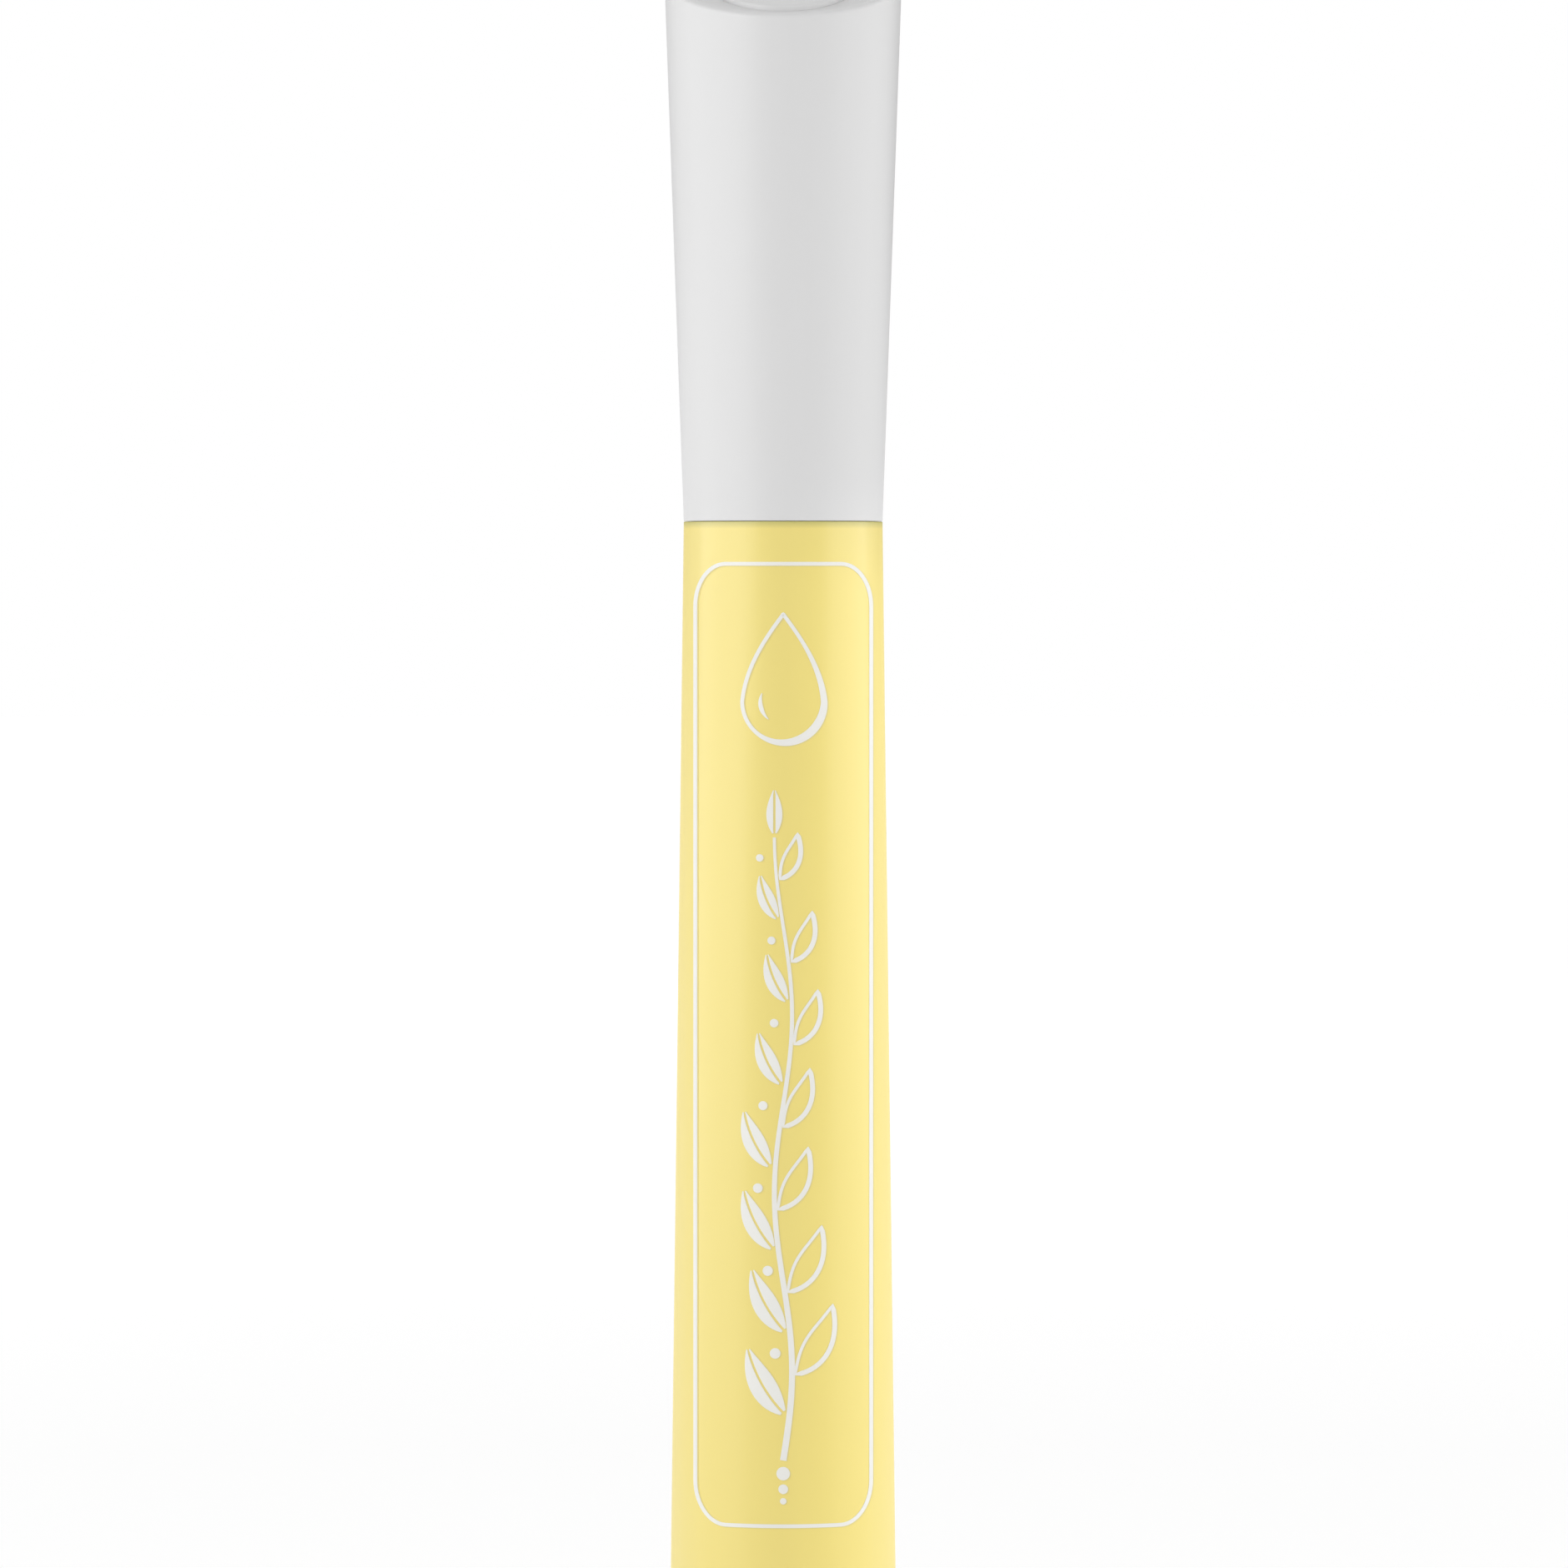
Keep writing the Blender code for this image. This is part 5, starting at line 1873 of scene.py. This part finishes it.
@dataclass(frozen=True)
class Studio:
    """The pale floor, the white surroundings, the lamps, the snoot and the cards."""

    floor_half_side: float = 4.0
    floor_drop: float = 0.03 * MM
    floor_colour: Colour = (0.86, 0.86, 0.86)
    floor_roughness: float = 0.9
    # The glow is lowest at the pen's foot, a painted shadow there; near and far glow keep the rest of the
    # floor evenly white.
    painted_shadow_glow: float = 0.16
    near_glow: float = 0.275
    far_glow: float = 0.42
    foot: float = 0.01
    near: float = 0.07
    side: float = 0.20
    far: float = 0.80
    floor_gleam: float = 0.15
    fill: float = 1.30
    overhead_loss: float = 0.7
    boxes: tuple[SoftBox, ...] = (
        SoftBox("left_box", -76.0, 1.35, width=0.76),
        SoftBox("right_box", 82.0, 1.05),
        SoftBox("front_box", 0.0, 0.20, 1.10, 1.20, 0.80, 0.45, mirrored=False),
        SoftBox("back_box", 180.0, 0.25, 1.10, 1.20, 0.80, 0.45, mirrored=False),
    )
    snoots: tuple[Snoot, ...] = (Snoot("right_snoot", 90.0, 0.190, 0.0, 76.6 * MM),)
    cards: tuple[GlossCard, ...] = (
        GlossCard("left_card", -153.0, 0.30),
        GlossCard("right_card", 153.0, 0.05),
        GlossCard("gleam_card", -47.0, 2.80, width=0.25),
    )

    def set_up(self) -> None:
        """Adds the floor, the world, the lamps and the cards, and sets the view transform."""
        self.lay_floor()
        self.surround()
        for fitting in self.boxes + self.snoots + self.cards:
            fitting.set_up()
        bpy.context.scene.view_settings.view_transform = "Standard"

    def lay_floor(self) -> None:
        """Adds the floor, which shows white to the camera but keeps the pen's shadow, deepened round its
        foot by a painted shadow.
        """
        half = self.floor_half_side
        corners = [(-half, -half, 0.0), (half, -half, 0.0), (half, half, 0.0), (-half, half, 0.0)]
        floor = flat_sheet("studio_floor", corners, self.floor_sockets)
        floor.location.z = -self.floor_drop

    def floor_sockets(self, graph: Graph) -> Sockets:
        """The floor's shader sockets: matt, with a glow that only the rays of sight see, dimmed round the
        pen's foot as a painted shadow.

        Args:
            graph: The material's graph.

        Returns:
            A value or a wire for each socket by its name.
        """
        seen = graph.light_path("Is Camera Ray", "Is Glossy Ray", "Is Transmission Ray")
        mirrored = graph.light_path("Is Glossy Ray")
        away = graph.off_axis()
        # Painted shadow: the glow rises from its lowest at the foot to the near glow, and farther out to
        # the far glow so that the distant floor stays white.
        close = (self.near_glow - self.painted_shadow_glow) * graph.ramp(away, self.foot, self.near)
        wide = (self.far_glow - self.near_glow) * graph.ramp(away, self.side, self.far)
        glow = self.painted_shadow_glow + close + wide
        white = glow * seen + self.floor_gleam * mirrored
        return {
            "Base Color": self.floor_colour,
            "Roughness": self.floor_roughness,
            "Specular IOR Level": 0.0,
            "Emission Color": graph.mix(white, BLACK, WHITE),
            "Emission Strength": 1.0,
        }

    def surround(self) -> None:
        """Makes the world white to the camera and to reflections, and a soft fill for the rest."""
        world = bpy.data.worlds.new("white_surroundings")
        world.use_nodes = True
        bpy.context.scene.world = world
        graph = Graph(world.node_tree)
        seen = graph.light_path("Is Camera Ray", "Is Glossy Ray", "Is Transmission Ray")
        background = world.node_tree.nodes["Background"]
        soft = self.fill * (1.0 - self.overhead_loss * graph.upward())
        graph.feed(background, {"Color": WHITE, "Strength": seen + (1.0 - seen) * soft})


def main() -> None:
    """Builds the pen's looks and the studio."""
    logging.basicConfig(level=logging.INFO, format="%(message)s")
    form = OuterForm()
    palette = Palette()
    lathe = Lathe()
    for assembly in (Cap, Barrel, Knob, Cartridge, FoilPrint):
        assembly(lathe, form, palette).build()
    InnerParts(palette).dress()
    Studio().set_up()
    PhotoCamera().set_up(form)


if __name__ == "__main__":
    main()
